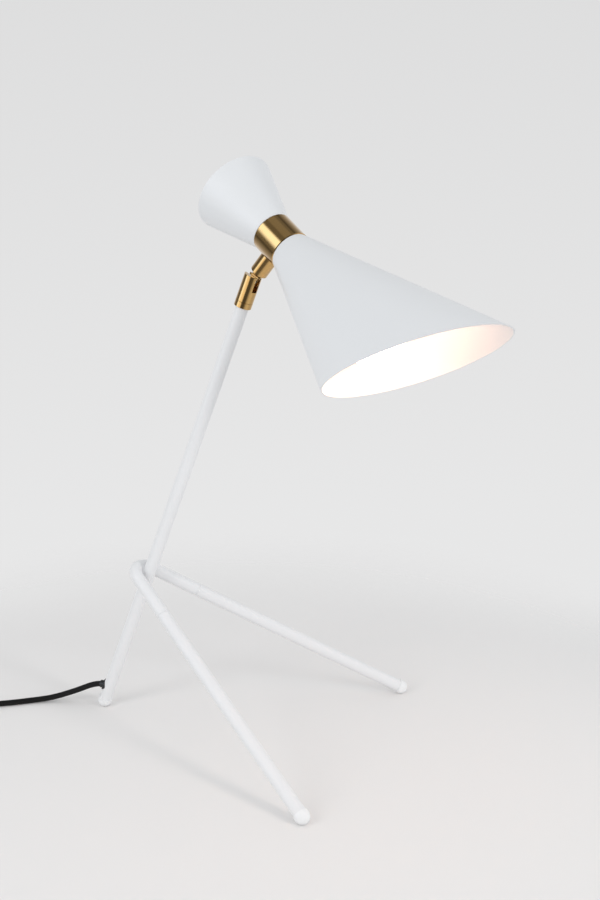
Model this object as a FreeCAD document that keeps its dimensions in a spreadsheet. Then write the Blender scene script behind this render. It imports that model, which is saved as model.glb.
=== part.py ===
"""A tripod desk lamp: a leaning stem, two front legs on a bent bracket, a brass knuckle and
a double-cone shade.

Frame: millimetres, +Z up, the table at Z = 0 under the middle of the rear foot. The front legs stand
towards +X, the lamp's left leg at +Y. The stem leans towards +X in the plane Y = 0.
"""
import FreeCAD, Part
import math
import os
import re
import Sketcher
from FreeCAD import Placement, Rotation, Vector

# Driving dimensions: millimetres and degrees
SIZES = {
    # rods and feet
    "rod_diameter": 12,
    "tube_wall": 1.5,
    "slip_clearance": 0.05,
    "running_clearance": 0.05,
    "stem_lean": 21,
    "stem_length": 430.2,
    "front_foot_forward": 264,
    "front_foot_side": 136,
    "foot_radius": 6.9,
    "foot_height": 6.2,
    "foot_collar": 3,
    "foot_spigot": 7,
    # bracket round the stem
    "bracket_position": 147.5,
    "bend_radius": 16,
    "bracket_arm": 49,
    "seam_chamfer": 0.6,
    "weld_gap": 0.8,
    "weld_radius": 5.2,
    "stud_diameter": 6,
    "stud_reach": 13,
    "stud_plug": 15,
    # cord outlet and wires
    "cord_diameter": 5.5,
    "cord_outlet": 15.5,
    "grommet_flange": 11,
    "grommet_flange_thickness": 1,
    "grommet_barrel": 8,
    "grommet_lip": 0.6,
    "nozzle_diameter": 7.4,
    "nozzle_length": 2.5,
    "wire_diameter": 1.6,
    "wire_spacing": 2.3,
    "wire_bend": 4,
    "lead_bend": 2.5,
    # swivel in the lower knuckle
    "knuckle_diameter": 16,
    "knuckle_chamfer": 0.15,
    "ring_height": 5.3,
    "base_spigot": 12,
    "swivel_gap": 0.1,
    "journal_diameter": 9,
    "swivel_thread": 8,
    "thread_spare": 0.7,
    "swivel_bore": 5,
    "barrel_height": 10.7,
    "barrel_floor": 3.1,
    "barrel_counterbore": 13,
    "washer_thickness": 0.6,
    "washer_diameter": 12.4,
    "ring_nut_diameter": 12,
    "ring_nut_height": 3.2,
    "ring_nut_slot": 1.6,
    "stop_pin_diameter": 1.4,
    "stop_pin_depth": 2,
    "stop_pin_rise": 1,
    "stop_radius": 6.2,
    "stop_groove_width": 1.8,
    "stop_groove_depth": 1.5,
    "stop_rib_angle": 24,
    "swivel_rest_angle": -24.2,
    # tilt in the upper knuckle
    "fork_height": 13.7,
    "fork_spigot": 3,
    "pivot_rise": 5.5,
    "slot_width": 5.2,
    "slot_clearance": 1.2,
    "pivot_diameter": 4,
    "pivot_head_diameter": 6.6,
    "pivot_head_height": 1.3,
    "pivot_head_seat": 5.8,
    "pivot_tip": 6.4,
    "pivot_drive_slot": 1,
    "friction_washer_thickness": 0.4,
    "friction_washer_diameter": 7.6,
    "tongue_end_radius": 4,
    "tongue_shoulder": 12.2,
    "tongue_chamfer": 2.6,
    "tongue_wire_gap": 2.1,
    "tongue_thread": 8,
    "tongue_thread_end": 11,
    "tongue_reach": 50.5,
    "tongue_cant_angle": 8.9,
    "tilt_rest_angle": 20.8,
    "tongue_nut_across": 12,
    "tongue_nut_height": 3,
    "tongue_nut_seat": 14.6,
    "spot_face_diameter": 15,
    # waist and shade
    "collar_diameter": 37.6,
    "collar_length": 28.8,
    "collar_bore": 28,
    "collar_chamfer": 0.8,
    "cone_neck_step": 0.45,
    "cone_half_angle": 17.8,
    "shade_wall": 1,
    "rear_cone_reach": 73.6,
    "mouth_reach": 171.4,
    "mouth_slant_angle": 30.8,
    "nipple_diameter": 10,
    "nipple_bore": 7,
    "nipple_spare": 1.2,
    "clamp_washer_diameter": 20,
    "clamp_washer_thickness": 1.2,
    "clamp_nut_across": 14,
    "clamp_nut_height": 4,
    # lampholder and bulb
    "holder_standoff": 47.8,
    "holder_diameter": 26,
    "holder_length": 44,
    "holder_wall": 1.8,
    "holder_base": 9,
    "holder_base_chamfer": 3,
    "insert_height": 5,
    "insert_lead_hole": 2.4,
    "shell_height": 25,
    "shell_wall": 0.5,
    "shell_inner_diameter": 14.4,
    "cap_diameter": 13.8,
    "cap_length": 25,
    "cap_contact_diameter": 5,
    "cap_contact_height": 1.2,
    "spring_height": 1.6,
    "spring_width": 6,
    "globe_diameter": 45,
    "globe_reach": 52,
    "globe_wall": 0.8,
    "core_diameter": 9,
    "core_length": 24,
    # in-line switch
    "switch_length": 58,
    "switch_width": 24,
    "switch_split": 7,
    "switch_cover_height": 8,
    "switch_wall": 1.6,
    "switch_corner": 8,
    "rocker_length": 15,
    "rocker_width": 8.2,
    "rocker_height": 6.4,
    "rocker_dip": 1,
    "rocker_slack": 0.5,
    "rocker_axle": 2.4,
    "rocker_axle_length": 11.4,
    "rocker_throw_angle": 7,
    "rocker_pivot_drop": 3.4,
    "cheek_length": 5,
    "cheek_wall": 1.3,
    "cheek_depth": 5.2,
    "switch_screw_diameter": 3,
    "switch_screw_head": 5.6,
    "switch_screw_head_depth": 2,
    "switch_post_diameter": 6.6,
    "switch_post_offset": 20,
    "switch_post_side": 5.5,
    # plug
    "plug_length": 34,
    "plug_width": 30,
    "plug_height": 13.7,
    "plug_corner": 6,
    "plug_pin_diameter": 4,
    "plug_pin_length": 19,
    "plug_pin_root": 8,
    "plug_pin_spacing": 19,
    "plug_relief_length": 14,
    "plug_relief_tip": 7.4,
    "plug_relief_root": 11,
    "plug_cord_depth": 8,
    # wound cord and the stretches on either side of it
    "link_lead": 12,
    "link_slope": 18,
    "tail_lead": 10,
    "tail_slope": 18,
    "coil_radius": 43.5,
    "coil_pitch": 6,
    "coil_turns": 7.42,
    "tie_thickness": 1,
    "tie_width": 8,
    "tie_slack": 0.2,
    "tie_angle": 20,
}

doc = FreeCAD.newDocument("DeskLamp")
sheet = doc.addObject("Spreadsheet::Sheet", "Sizes")
for row, (name, number) in enumerate(SIZES.items(), start=1):
    sheet.set(f"A{row}", name)
    sheet.set(f"B{row}", str(number))
    sheet.setAlias(f"B{row}", name)
doc.recompute()

X_AXIS = Vector(1, 0, 0)
Y_AXIS = Vector(0, 1, 0)
Z_AXIS = Vector(0, 0, 1)
HOME = Placement()
PIECES = {}


def bind(text):
    """An expression in which each size's name points to its cell."""
    return re.sub(r"[a-z_]+", lambda word: f"Sizes.{word[0]}" if word[0] in SIZES else word[0], text)


def value(text):
    """The number that an expression of size names gives."""
    return float(sheet.evalExpression(bind(text)))


def at(x=0.0, y=0.0, z=0.0, axis=Z_AXIS, angle=0.0):
    return Placement(Vector(x, y, z), Rotation(axis, angle))


def keep(piece, label, where=None):
    """Names a finished sub-part and puts it in its place."""
    piece.Label = label
    if where is not None:
        piece.Placement = where
    PIECES[label] = piece
    return piece


def bound(kind, name, where, **sizes):
    """A primitive whose sizes are bound to the sheet."""
    piece = doc.addObject(kind, name)
    for prop, text in sizes.items():
        piece.setExpression(prop, bind(text))
    piece.Placement = where
    return piece


def cylinder(name, radius, height, where=HOME):
    return bound("Part::Cylinder", name, where, Radius=radius, Height=height)


def box(name, length, width, height, where=HOME):
    """A box standing on its local XY plane, centred on its local Z axis."""
    shift = at(-value(length) / 2, -value(width) / 2)
    return bound("Part::Box", name, where * shift, Length=length, Width=width, Height=height)


def fused(name, shapes):
    piece = doc.addObject("Part::MultiFuse", name)
    piece.Shapes = shapes
    return piece


def grouped(name, links):
    piece = doc.addObject("Part::Compound", name)
    piece.Links = links
    return piece


def cut(name, base, tools):
    piece = doc.addObject("Part::Cut", name)
    piece.Base = base
    piece.Tool = tools[0] if len(tools) == 1 else fused(name + "_cutters", tools)
    return piece


def common(name, shapes):
    piece = doc.addObject("Part::MultiCommon", name)
    piece.Shapes = shapes
    return piece


def origin_plane(body, role):
    return next(feature for feature in body.Origin.OriginFeatures if feature.Role == role)


def outline_sketch(body, outline, role="XZ_Plane"):
    """A closed outline; each corner is two expressions, and a third one is the radius of the arc that
    leads on from it: positive turns left, negative turns right."""
    sketch = body.newObject("Sketcher::SketchObject", body.Name + "_outline")
    sketch.AttachmentSupport = [(origin_plane(body, role), "")]
    sketch.MapMode = "FlatFace"
    corners = [Vector(value(corner[0]), value(corner[1]), 0) for corner in outline]
    ends = []
    for index, corner in enumerate(outline):
        start = corners[index]
        end = corners[(index + 1) % len(corners)]
        if len(corner) == 2:
            sketch.addGeometry(Part.LineSegment(start, end))
            ends.append((1, 2))
            continue
        radius = value(corner[2])
        half = (end - start) / 2
        side = Vector(-half.y, half.x, 0).normalize() * math.copysign(1, radius)
        centre = start + half + side * math.sqrt(max(radius ** 2 - half.Length ** 2, 0))
        first, last = (start, end) if radius > 0 else (end, start)
        angles = [math.atan2(point.y - centre.y, point.x - centre.x) for point in (first, last)]
        sketch.addGeometry(Part.ArcOfCircle(Part.Circle(centre, Z_AXIS, abs(radius)), *angles))
        ends.append((1, 2) if radius > 0 else (2, 1))
    for index, corner in enumerate(outline):
        follower = (index + 1) % len(outline)
        joined = Sketcher.Constraint("Coincident", index, ends[index][1], follower, ends[follower][0])
        sketch.addConstraint(joined)
        for kind, text, number in zip(("DistanceX", "DistanceY"), corner, corners[index]):
            rule = sketch.addConstraint(Sketcher.Constraint(kind, -1, 1, index, ends[index][0], number))
            sketch.setExpression(f"Constraints[{rule}]", bind(text))
        if len(corner) == 3:
            rule = sketch.addConstraint(Sketcher.Constraint("Radius", index, abs(value(corner[2]))))
            sketch.setExpression(f"Constraints[{rule}]", bind(f"abs({corner[2]})"))
    return sketch


def turned(name, outline):
    """A turned piece: the outline's corners are (radius, height), turned about local Z."""
    body = doc.addObject("PartDesign::Body", name)
    sketch = outline_sketch(body, outline)
    turn = body.newObject("PartDesign::Revolution", name + "_turn")
    turn.Profile = (sketch, [""])
    turn.ReferenceAxis = (sketch, ["V_Axis"])
    turn.Angle = 360
    return body


def ring(name, inner, outer, bottom, top):
    """A plain turned ring; a bore of 0 makes it a disc."""
    return turned(name, [(inner, bottom), (outer, bottom), (outer, top), (inner, top)])


def hexagon(name, across, height, where=HOME):
    """A hexagonal prism standing on its local XY plane."""
    return bound("Part::Prism", name, where, Circumradius=f"({across}) / 2 / cos(30)", Height=height)


def rounded_box(name, length, width, height, corner, where=HOME):
    """A box whose upright edges are rounded."""
    block = box(name + "_block", length, width, height)
    doc.recompute()
    upright = [
        index
        for index, edge in enumerate(block.Shape.Edges, start=1)
        if abs(edge.tangentAt(edge.FirstParameter).z) > 0.9
    ]
    piece = doc.addObject("Part::Fillet", name)
    piece.Base = block
    radius = min(value(corner), value(width) / 2.1)
    piece.Edges = [(index, radius, radius) for index in upright]
    piece.Placement = where
    return piece


# Frames that the pieces stand in
stem_frame = at(z=value("foot_height"), axis=Y_AXIS, angle=value("stem_lean"))
stem_up = stem_frame.Rotation.multVec(Z_AXIS)
swivel_frame = stem_frame * at(z=value("stem_length"), angle=value("swivel_rest_angle"))
neutral_frame = stem_frame * at(z=value("stem_length"))
BARREL_BASE = "(ring_height + swivel_gap)"
FORK_BASE = f"({BARREL_BASE} + barrel_height)"
PIVOT = f"({FORK_BASE} + pivot_rise)"
BROKEN_EDGE = "(knuckle_diameter / 2 - knuckle_chamfer)"
tilt_frame = swivel_frame * at(z=value(PIVOT), axis=Y_AXIS, angle=value("tilt_rest_angle"))
waist_frame = tilt_frame * at(z=value("tongue_reach"), axis=Y_AXIS, angle=90 - value("tongue_cant_angle"))
tongue_in_waist = waist_frame.inverse() * tilt_frame
TUBE_BORE = "(rod_diameter / 2 - tube_wall)"
PLUG_FIT = f"({TUBE_BORE} - slip_clearance)"


# Bracket geometry: its plane holds the stem's crossing point and both front feet
crossing = stem_frame.multVec(Vector(0, 0, value("bracket_position")))
front_feet = {
    "left": Vector(value("front_foot_forward"), value("front_foot_side"), value("foot_height")),
    "right": Vector(value("front_foot_forward"), -value("front_foot_side"), value("foot_height")),
}
between_feet = (front_feet["left"] + front_feet["right"]) / 2
forward = (between_feet - crossing).normalize()
bracket_normal = forward.cross(Y_AXIS)
rod_radius = value("rod_diameter / 2")
bend_radius = value("bend_radius")
stem_half_depth = rod_radius / abs(stem_up.dot(bracket_normal))
bend_centre = crossing + forward * (bend_radius - rod_radius - stem_half_depth - value("weld_gap"))
bracket_frame = Placement(bend_centre, Rotation(forward, Y_AXIS, bracket_normal, "ZXY"))
left_foot_local = bracket_frame.inverse().multVec(front_feet["left"])
foot_distance = math.hypot(left_foot_local.x, left_foot_local.y)
touch_angle = math.atan2(left_foot_local.y, left_foot_local.x) + math.acos(bend_radius / foot_distance)
leg_span = math.sqrt(foot_distance ** 2 - bend_radius ** 2)
leg_heading = math.degrees(touch_angle) - 90


def leg_frame(side):
    """Starts where an arm leaves the bend, with Z towards that leg's foot; side is 1 (left) or -1 (right)."""
    start = Vector(bend_radius * math.cos(touch_angle), side * bend_radius * math.sin(touch_angle), 0)
    across = Rotation(Y_AXIS, 90)
    return bracket_frame * Placement(start, Rotation(Z_AXIS, side * leg_heading) * across)


def build_rods():
    """Stem tube, bent bracket with its weld, legs and studs."""
    stem_outline = [
        (TUBE_BORE, "foot_collar"),
        ("rod_diameter / 2", "foot_collar"),
        ("rod_diameter / 2", "stem_length"),
        (TUBE_BORE, "stem_length"),
    ]
    outlet = at(z=value("cord_outlet"), axis=Y_AXIS, angle=-90)
    hole = cylinder("stem_cord_hole", "grommet_barrel / 2 + slip_clearance", "rod_diameter", outlet)
    keep(cut("stem_tube", turned("stem_blank", stem_outline), [hole]), "stem_tube", stem_frame)

    bend = bound(
        "Part::Torus", "bracket_bend", at(angle=math.degrees(touch_angle)),
        Radius1="bend_radius", Radius2="rod_diameter / 2",
    )
    bend.Angle3 = 360 - 2 * math.degrees(touch_angle)
    arms = []
    taps = []
    into_bracket = bracket_frame.inverse()
    for name, side in (("left", 1), ("right", -1)):
        arm_frame = into_bracket * leg_frame(side)
        arm = turned(f"bracket_arm_{name}", [
            ("0", "0"),
            ("rod_diameter / 2", "0"),
            ("rod_diameter / 2", "bracket_arm - seam_chamfer"),
            ("rod_diameter / 2 - seam_chamfer", "bracket_arm"),
            ("0", "bracket_arm"),
        ])
        arm.Placement = arm_frame
        arms.append(arm)
        tap_frame = arm_frame * at(z=value("bracket_arm - stud_reach - slip_clearance"))
        taps.append(
            cylinder(f"bracket_tap_{name}", "stud_diameter / 2 + slip_clearance", "stud_reach * 2", tap_frame)
        )
    keep(cut("hairpin_bracket", fused("bracket_rod", [bend] + arms), taps), "hairpin_bracket", bracket_frame)

    bead_frame = Placement(crossing, Rotation(Z_AXIS, forward * -1))
    bead = cylinder("weld_bead", "weld_radius", "rod_diameter / 2 + weld_gap + weld_radius", bead_frame)
    stem_core = cylinder("weld_stem", "rod_diameter / 2", "stem_length", stem_frame)
    bend_core = bound(
        "Part::Torus", "weld_bend", bracket_frame, Radius1="bend_radius", Radius2="rod_diameter / 2"
    )
    keep(cut("bracket_weld", bead, [stem_core, bend_core]), "bracket_weld")

    studs = []
    leg_length = leg_span - value("bracket_arm") - value("foot_collar")
    for name, side in (("left", 1), ("right", -1)):
        leg_base = leg_frame(side) * at(z=value("bracket_arm"))
        leg = turned(f"{name}_leg", [
            (TUBE_BORE, "0"),
            ("rod_diameter / 2 - seam_chamfer", "0"),
            ("rod_diameter / 2", "seam_chamfer"),
            ("rod_diameter / 2", f"{leg_length}"),
            (TUBE_BORE, f"{leg_length}"),
        ])
        keep(leg, f"{name}_leg", leg_base)
        stud = turned(f"{name}_stud", [
            ("0", "-stud_reach"),
            ("stud_diameter / 2", "-stud_reach"),
            ("stud_diameter / 2", "0"),
            (PLUG_FIT, "0"),
            (PLUG_FIT, "stud_plug"),
            ("0", "stud_plug"),
        ])
        stud.Placement = leg_base
        studs.append(stud)
    keep(grouped("leg_studs", studs), "leg_studs")


def build_feet():
    """Rounded end caps, each cut flat where it stands on the table."""
    left = leg_frame(1) * at(z=leg_span, axis=X_AXIS, angle=180)
    right = leg_frame(-1) * at(z=leg_span, axis=X_AXIS, angle=180)
    for name, where in (("rear", stem_frame), ("left", left), ("right", right)):
        cap = turned(f"{name}_cap", [
            ("0", "-foot_radius", "foot_radius"),
            ("foot_radius", "0"),
            ("foot_radius", "foot_collar"),
            (PLUG_FIT, "foot_collar"),
            (PLUG_FIT, "foot_collar + foot_spigot"),
            ("0", "foot_collar + foot_spigot"),
        ])
        centre = where.Base
        table = at(centre.x, centre.y, -value("foot_radius"))
        under = where.inverse() * table
        floor = box(f"{name}_table", "foot_radius * 4", "foot_radius * 4", "foot_radius", under)
        keep(cut(f"{name}_foot", cap, [floor]), f"{name}_foot", where)


# The cord leaves level through the grommet, whose flange lies on the stem's rear side
outlet_on_stem = stem_frame * at(z=value("cord_outlet"), axis=Y_AXIS, angle=-90)
outlet_middle = outlet_on_stem.multVec(Vector(0, 0, value("rod_diameter / 2 - tube_wall / 2")))
level_outlet = Placement(outlet_middle, Rotation(Y_AXIS, -90))
flange_exit = value("(grommet_flange_thickness + tube_wall / 2) / cos(stem_lean)")
nozzle_end = flange_exit + value("nozzle_length")
inner_exit = value("(grommet_lip + tube_wall / 2) / cos(stem_lean)")


def build_grommet():
    """A bush in the stem's wall with a curved flange and a short level nozzle."""
    to_stem = stem_frame.inverse()
    outlet = to_stem * outlet_on_stem
    level = to_stem * level_outlet
    patch = cylinder("grommet_patch", "grommet_flange / 2", "rod_diameter", outlet)
    sleeve = ring(
        "grommet_sleeve", "rod_diameter / 2", "rod_diameter / 2 + grommet_flange_thickness",
        "cord_outlet - grommet_flange", "cord_outlet + grommet_flange",
    )
    flange = common("grommet_flange", [sleeve, patch])
    neck_frame = outlet * at(z=value(f"{TUBE_BORE} - grommet_lip"))
    neck = cylinder("grommet_neck", "grommet_barrel / 2", "tube_wall + grommet_lip", neck_frame)
    spout = cylinder("grommet_spout", "nozzle_diameter / 2", f"{nozzle_end}", level)
    stem_core = cylinder("grommet_stem", "rod_diameter / 2", "cord_outlet + grommet_flange")
    nozzle = cut("grommet_nozzle", spout, [stem_core])
    bore_frame = level * at(z=-value("rod_diameter / 2"))
    bore = cylinder("grommet_bore", "cord_diameter / 2 + slip_clearance", "rod_diameter * 2", bore_frame)
    solid = fused("grommet_solid", [flange, neck, nozzle])
    keep(cut("cord_grommet", solid, [bore]), "cord_grommet", stem_frame)


def build_swivel():
    """Base ring with its journal, stop pin, washer and slotted nut, and the barrel that turns on it."""
    floor_top = f"({BARREL_BASE} + barrel_floor)"
    nut_bottom = f"({floor_top} + washer_thickness)"
    nut_top = f"({nut_bottom} + ring_nut_height)"
    thread_top = f"({nut_top} + thread_spare)"
    base = turned("base_blank", [
        ("swivel_bore / 2", "-base_spigot"),
        (PLUG_FIT, "-base_spigot"),
        (PLUG_FIT, "0"),
        (BROKEN_EDGE, "0"),
        ("knuckle_diameter / 2", "knuckle_chamfer"),
        ("knuckle_diameter / 2", "ring_height - knuckle_chamfer"),
        (BROKEN_EDGE, "ring_height"),
        ("journal_diameter / 2", "ring_height"),
        ("journal_diameter / 2", f"{floor_top} - swivel_gap"),
        ("swivel_thread / 2", f"{floor_top} - swivel_gap"),
        ("swivel_thread / 2", thread_top),
        ("swivel_bore / 2", thread_top),
    ])
    pin_foot = at(-value("stop_radius"), 0, value("ring_height - stop_pin_depth"))
    pin_hole = cylinder("stop_hole", "stop_pin_diameter / 2 + slip_clearance", "ring_height", pin_foot)
    keep(cut("swivel_base", base, [pin_hole]), "swivel_base", neutral_frame)
    pin = cylinder("swivel_stop_pin", "stop_pin_diameter / 2", "stop_pin_depth + stop_pin_rise")
    keep(pin, "swivel_stop_pin", neutral_frame * pin_foot)
    washer = ring(
        "swivel_washer", "swivel_thread / 2 + slip_clearance", "washer_diameter / 2", floor_top, nut_bottom
    )
    keep(washer, "swivel_washer", neutral_frame)
    nut = ring("ring_nut", "swivel_thread / 2 + slip_clearance", "ring_nut_diameter / 2", nut_bottom, nut_top)
    slot_foot = at(z=value(f"{nut_top} - ring_nut_slot"))
    slot = box("ring_nut_slot", "ring_nut_diameter * 2", "ring_nut_slot", "ring_nut_height", slot_foot)
    keep(cut("swivel_nut", nut, [slot]), "swivel_nut", neutral_frame)

    barrel = turned("barrel_blank", [
        ("journal_diameter / 2 + running_clearance", BARREL_BASE),
        (BROKEN_EDGE, BARREL_BASE),
        ("knuckle_diameter / 2", f"{BARREL_BASE} + knuckle_chamfer"),
        ("knuckle_diameter / 2", FORK_BASE),
        ("barrel_counterbore / 2", FORK_BASE),
        ("barrel_counterbore / 2", floor_top),
        ("journal_diameter / 2 + running_clearance", floor_top),
    ])
    groove = ring(
        "stop_groove", "stop_radius - stop_groove_width / 2", "stop_radius + stop_groove_width / 2",
        BARREL_BASE, f"{BARREL_BASE} + stop_groove_depth",
    )
    half_rib = value("stop_rib_angle / 2")
    wedge = bound(
        "Part::Cylinder", "stop_rib", at(angle=-half_rib), Radius="knuckle_diameter", Height=FORK_BASE
    )
    wedge.setExpression("Angle", bind("stop_rib_angle"))
    keep(cut("swivel_barrel", barrel, [cut("stop_track", groove, [wedge])]), "swivel_barrel", swivel_frame)


def build_fork():
    """Slotted fork screwed into the barrel, with the pivot screw and its two friction washers."""
    spigot_fit = "(barrel_counterbore / 2 - slip_clearance)"
    fork_top = f"({FORK_BASE} + fork_height)"
    slot_floor = f"({PIVOT} - tongue_end_radius - slot_clearance)"
    blank = turned("fork_blank", [
        ("swivel_bore / 2", f"{FORK_BASE} - fork_spigot"),
        (spigot_fit, f"{FORK_BASE} - fork_spigot"),
        (spigot_fit, FORK_BASE),
        ("knuckle_diameter / 2", FORK_BASE),
        ("knuckle_diameter / 2", f"{fork_top} - knuckle_chamfer"),
        (BROKEN_EDGE, fork_top),
        ("swivel_bore / 2", fork_top),
    ])
    slot = box("fork_slot", "knuckle_diameter * 2", "slot_width", "fork_height * 2", at(z=value(slot_floor)))
    across = at(z=value(PIVOT), axis=X_AXIS, angle=-90)
    hole_start = across * at(z=-value("pivot_tip + slip_clearance"))
    hole = cylinder("fork_hole", "pivot_diameter / 2 + slip_clearance", "knuckle_diameter * 2", hole_start)
    head_start = across * at(z=value("pivot_head_seat"))
    seat_radius = "pivot_head_diameter / 2 + slip_clearance * 2"
    seat = cylinder("fork_head_seat", seat_radius, "knuckle_diameter", head_start)
    keep(cut("fork", blank, [slot, hole, seat]), "fork", swivel_frame)

    head_top = "(pivot_head_seat + pivot_head_height)"
    screw = turned("screw_blank", [
        ("0", "-pivot_tip"),
        ("pivot_diameter / 2", "-pivot_tip"),
        ("pivot_diameter / 2", "pivot_head_seat"),
        ("pivot_head_diameter / 2", "pivot_head_seat"),
        ("pivot_head_diameter / 2", head_top),
        ("0", head_top),
    ])
    drive_foot = at(z=value(f"{head_top} - pivot_head_height / 2"))
    drive = box("screw_drive", "pivot_head_diameter * 2", "pivot_drive_slot", "pivot_head_height", drive_foot)
    keep(cut("pivot_screw", screw, [drive]), "pivot_screw", swivel_frame * across)

    washers = []
    for name, foot in (("near", "-slot_width / 2"), ("far", "slot_width / 2 - friction_washer_thickness")):
        washer = ring(
            f"friction_washer_{name}", "pivot_diameter / 2 + slip_clearance", "friction_washer_diameter / 2",
            "0", "friction_washer_thickness",
        )
        washer.Placement = swivel_frame * across * at(z=value(foot))
        washers.append(washer)
    keep(grouped("friction_washers", washers), "friction_washers")


def build_tongue():
    """Upper knuckle: a blade in the fork's slot, a cylinder coped to the collar, and a hollow thread."""
    blade_thickness = "(slot_width - 2 * friction_washer_thickness - 2 * slip_clearance)"
    barrel = turned("tongue_barrel", [
        ("0", "tongue_shoulder"),
        ("knuckle_diameter / 2 - tongue_chamfer", "tongue_shoulder"),
        ("knuckle_diameter / 2", "tongue_shoulder + tongue_chamfer"),
        ("knuckle_diameter / 2", "tongue_reach"),
        ("0", "tongue_reach"),
    ])
    waist_here = tilt_frame.inverse() * waist_frame
    cope_foot = waist_here * at(z=-value("collar_length"))
    cope = cylinder("tongue_cope", "collar_diameter / 2 + slip_clearance", "collar_length * 2", cope_foot)
    coped = cut("tongue_coped", barrel, [cope])
    across = at(y=-value(f"{blade_thickness} / 2"), axis=X_AXIS, angle=-90)
    tip = cylinder("tongue_tip", "tongue_end_radius", blade_thickness, across)
    rise = "(tongue_shoulder + tongue_chamfer)"
    blade = box("tongue_blade", "2 * tongue_end_radius", blade_thickness, rise)
    thread = ring(
        "tongue_spigot", "0", "tongue_thread / 2", rise, "tongue_reach - tongue_thread_end"
    )
    solid = fused("tongue_solid", [coped, tip, blade, thread])
    hole_start = at(y=-value("knuckle_diameter"), axis=X_AXIS, angle=-90)
    hole_radius = "pivot_diameter / 2 + running_clearance"
    hole = cylinder("tongue_hole", hole_radius, "knuckle_diameter * 2", hole_start)
    gap_foot = at(z=-value("tongue_end_radius * 2"))
    gap_height = "tongue_end_radius * 2 + tongue_shoulder"
    gap = box("tongue_gap", "4 * tongue_end_radius", "tongue_wire_gap", gap_height, gap_foot)
    throat_height = f"(tongue_end_radius * 2 + {rise})"
    throat = box("tongue_throat", "swivel_bore", "tongue_wire_gap", throat_height, gap_foot)
    bore = cylinder("tongue_bore", "swivel_bore / 2", "tongue_reach", at(z=value(rise)))
    keep(cut("tongue", solid, [hole, gap, throat, bore]), "tongue", tilt_frame)

    nut_foot = at(z=value("tongue_reach - tongue_nut_seat"))
    nut = hexagon("tongue_nut_blank", "tongue_nut_across", "tongue_nut_height", nut_foot)
    nut_hole = cylinder("tongue_nut_hole", "tongue_thread / 2 + slip_clearance", "tongue_reach")
    keep(cut("tongue_nut", nut, [nut_hole]), "tongue_nut", tilt_frame)


HALF_COLLAR = "(collar_length / 2)"
NECK = "(collar_diameter / 2 - cone_neck_step)"
SLOPE = "tan(cone_half_angle)"
NIPPLE_FIT = "(nipple_diameter / 2 + slip_clearance)"
STACK = f"({HALF_COLLAR} + shade_wall + clamp_washer_thickness)"
NUT_END = f"({STACK} + clamp_nut_height)"
HOLDER_FOOT = f"({NUT_END} + holder_standoff)"


def build_waist():
    """Collar ring, the washers and nuts that clamp the two cones to it, and the hollow nipple through them
    that also carries the lampholder."""
    wall = turned("collar_blank", [
        ("collar_bore / 2", f"-{HALF_COLLAR}"),
        ("collar_diameter / 2 - collar_chamfer", f"-{HALF_COLLAR}"),
        ("collar_diameter / 2", f"-{HALF_COLLAR} + collar_chamfer"),
        ("collar_diameter / 2", f"{HALF_COLLAR} - collar_chamfer"),
        ("collar_diameter / 2 - collar_chamfer", HALF_COLLAR),
        ("collar_bore / 2", HALF_COLLAR),
    ])
    hole_radius = "tongue_thread / 2 + slip_clearance"
    thread_hole = cylinder("collar_thread_hole", hole_radius, "tongue_reach", tongue_in_waist)
    seat_foot = tongue_in_waist * at(z=value("tongue_reach - tongue_nut_seat"))
    seat = cylinder("collar_nut_seat", "spot_face_diameter / 2", "tongue_nut_seat", seat_foot)
    keep(cut("waist_collar", wall, [thread_hole, seat]), "waist_collar", waist_frame)

    rear_end = f"-({NUT_END} + nipple_spare)"
    front_end = f"({HOLDER_FOOT} + holder_base - nipple_spare)"
    nipple = ring("nipple_blank", "nipple_bore / 2", "nipple_diameter / 2", rear_end, front_end)
    side_hole = cylinder("nipple_side_hole", "swivel_bore / 2", "tongue_reach", tongue_in_waist)
    keep(cut("clamp_nipple", nipple, [side_hole]), "clamp_nipple", waist_frame)

    for name, turn in (("rear", 180), ("front", 0)):
        facing = waist_frame * at(axis=Y_AXIS, angle=turn)
        washer = ring(
            f"{name}_washer", NIPPLE_FIT, "clamp_washer_diameter / 2",
            f"{HALF_COLLAR} + shade_wall", STACK,
        )
        keep(washer, f"{name}_washer", facing)
        nut = hexagon(f"{name}_nut_blank", "clamp_nut_across", "clamp_nut_height", at(z=value(STACK)))
        hole = cylinder(f"{name}_nut_hole", NIPPLE_FIT, NUT_END)
        keep(cut(f"{name}_nut", nut, [hole]), f"{name}_nut", facing)


def cone_shell(name, reach):
    """A spun cone from the collar's end to the given reach, closed at its neck by a holed flange."""
    rim = f"({NECK} + (({reach}) - {HALF_COLLAR}) * {SLOPE})"
    return turned(name, [
        (NIPPLE_FIT, HALF_COLLAR),
        (NECK, HALF_COLLAR),
        (rim, reach),
        (f"{rim} - shade_wall", reach),
        (f"{NECK} + shade_wall * {SLOPE} - shade_wall", f"{HALF_COLLAR} + shade_wall"),
        (NIPPLE_FIT, f"{HALF_COLLAR} + shade_wall"),
    ])


def build_shade():
    """Rear cone cut square, and front cone cut at a slant so that its upper side reaches further."""
    keep(cone_shell("rear_cone", "rear_cone_reach"), "rear_cone", waist_frame * at(axis=Y_AXIS, angle=180))
    longest = "(mouth_reach * 1.5)"
    mouth = at(z=value("mouth_reach"), axis=Y_AXIS, angle=value("mouth_slant_angle"))
    knife = box("mouth_knife", "mouth_reach * 4", "mouth_reach * 4", "mouth_reach * 2", mouth)
    keep(cut("front_cone", cone_shell("front_blank", longest), [knife]), "front_cone", waist_frame)


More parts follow.
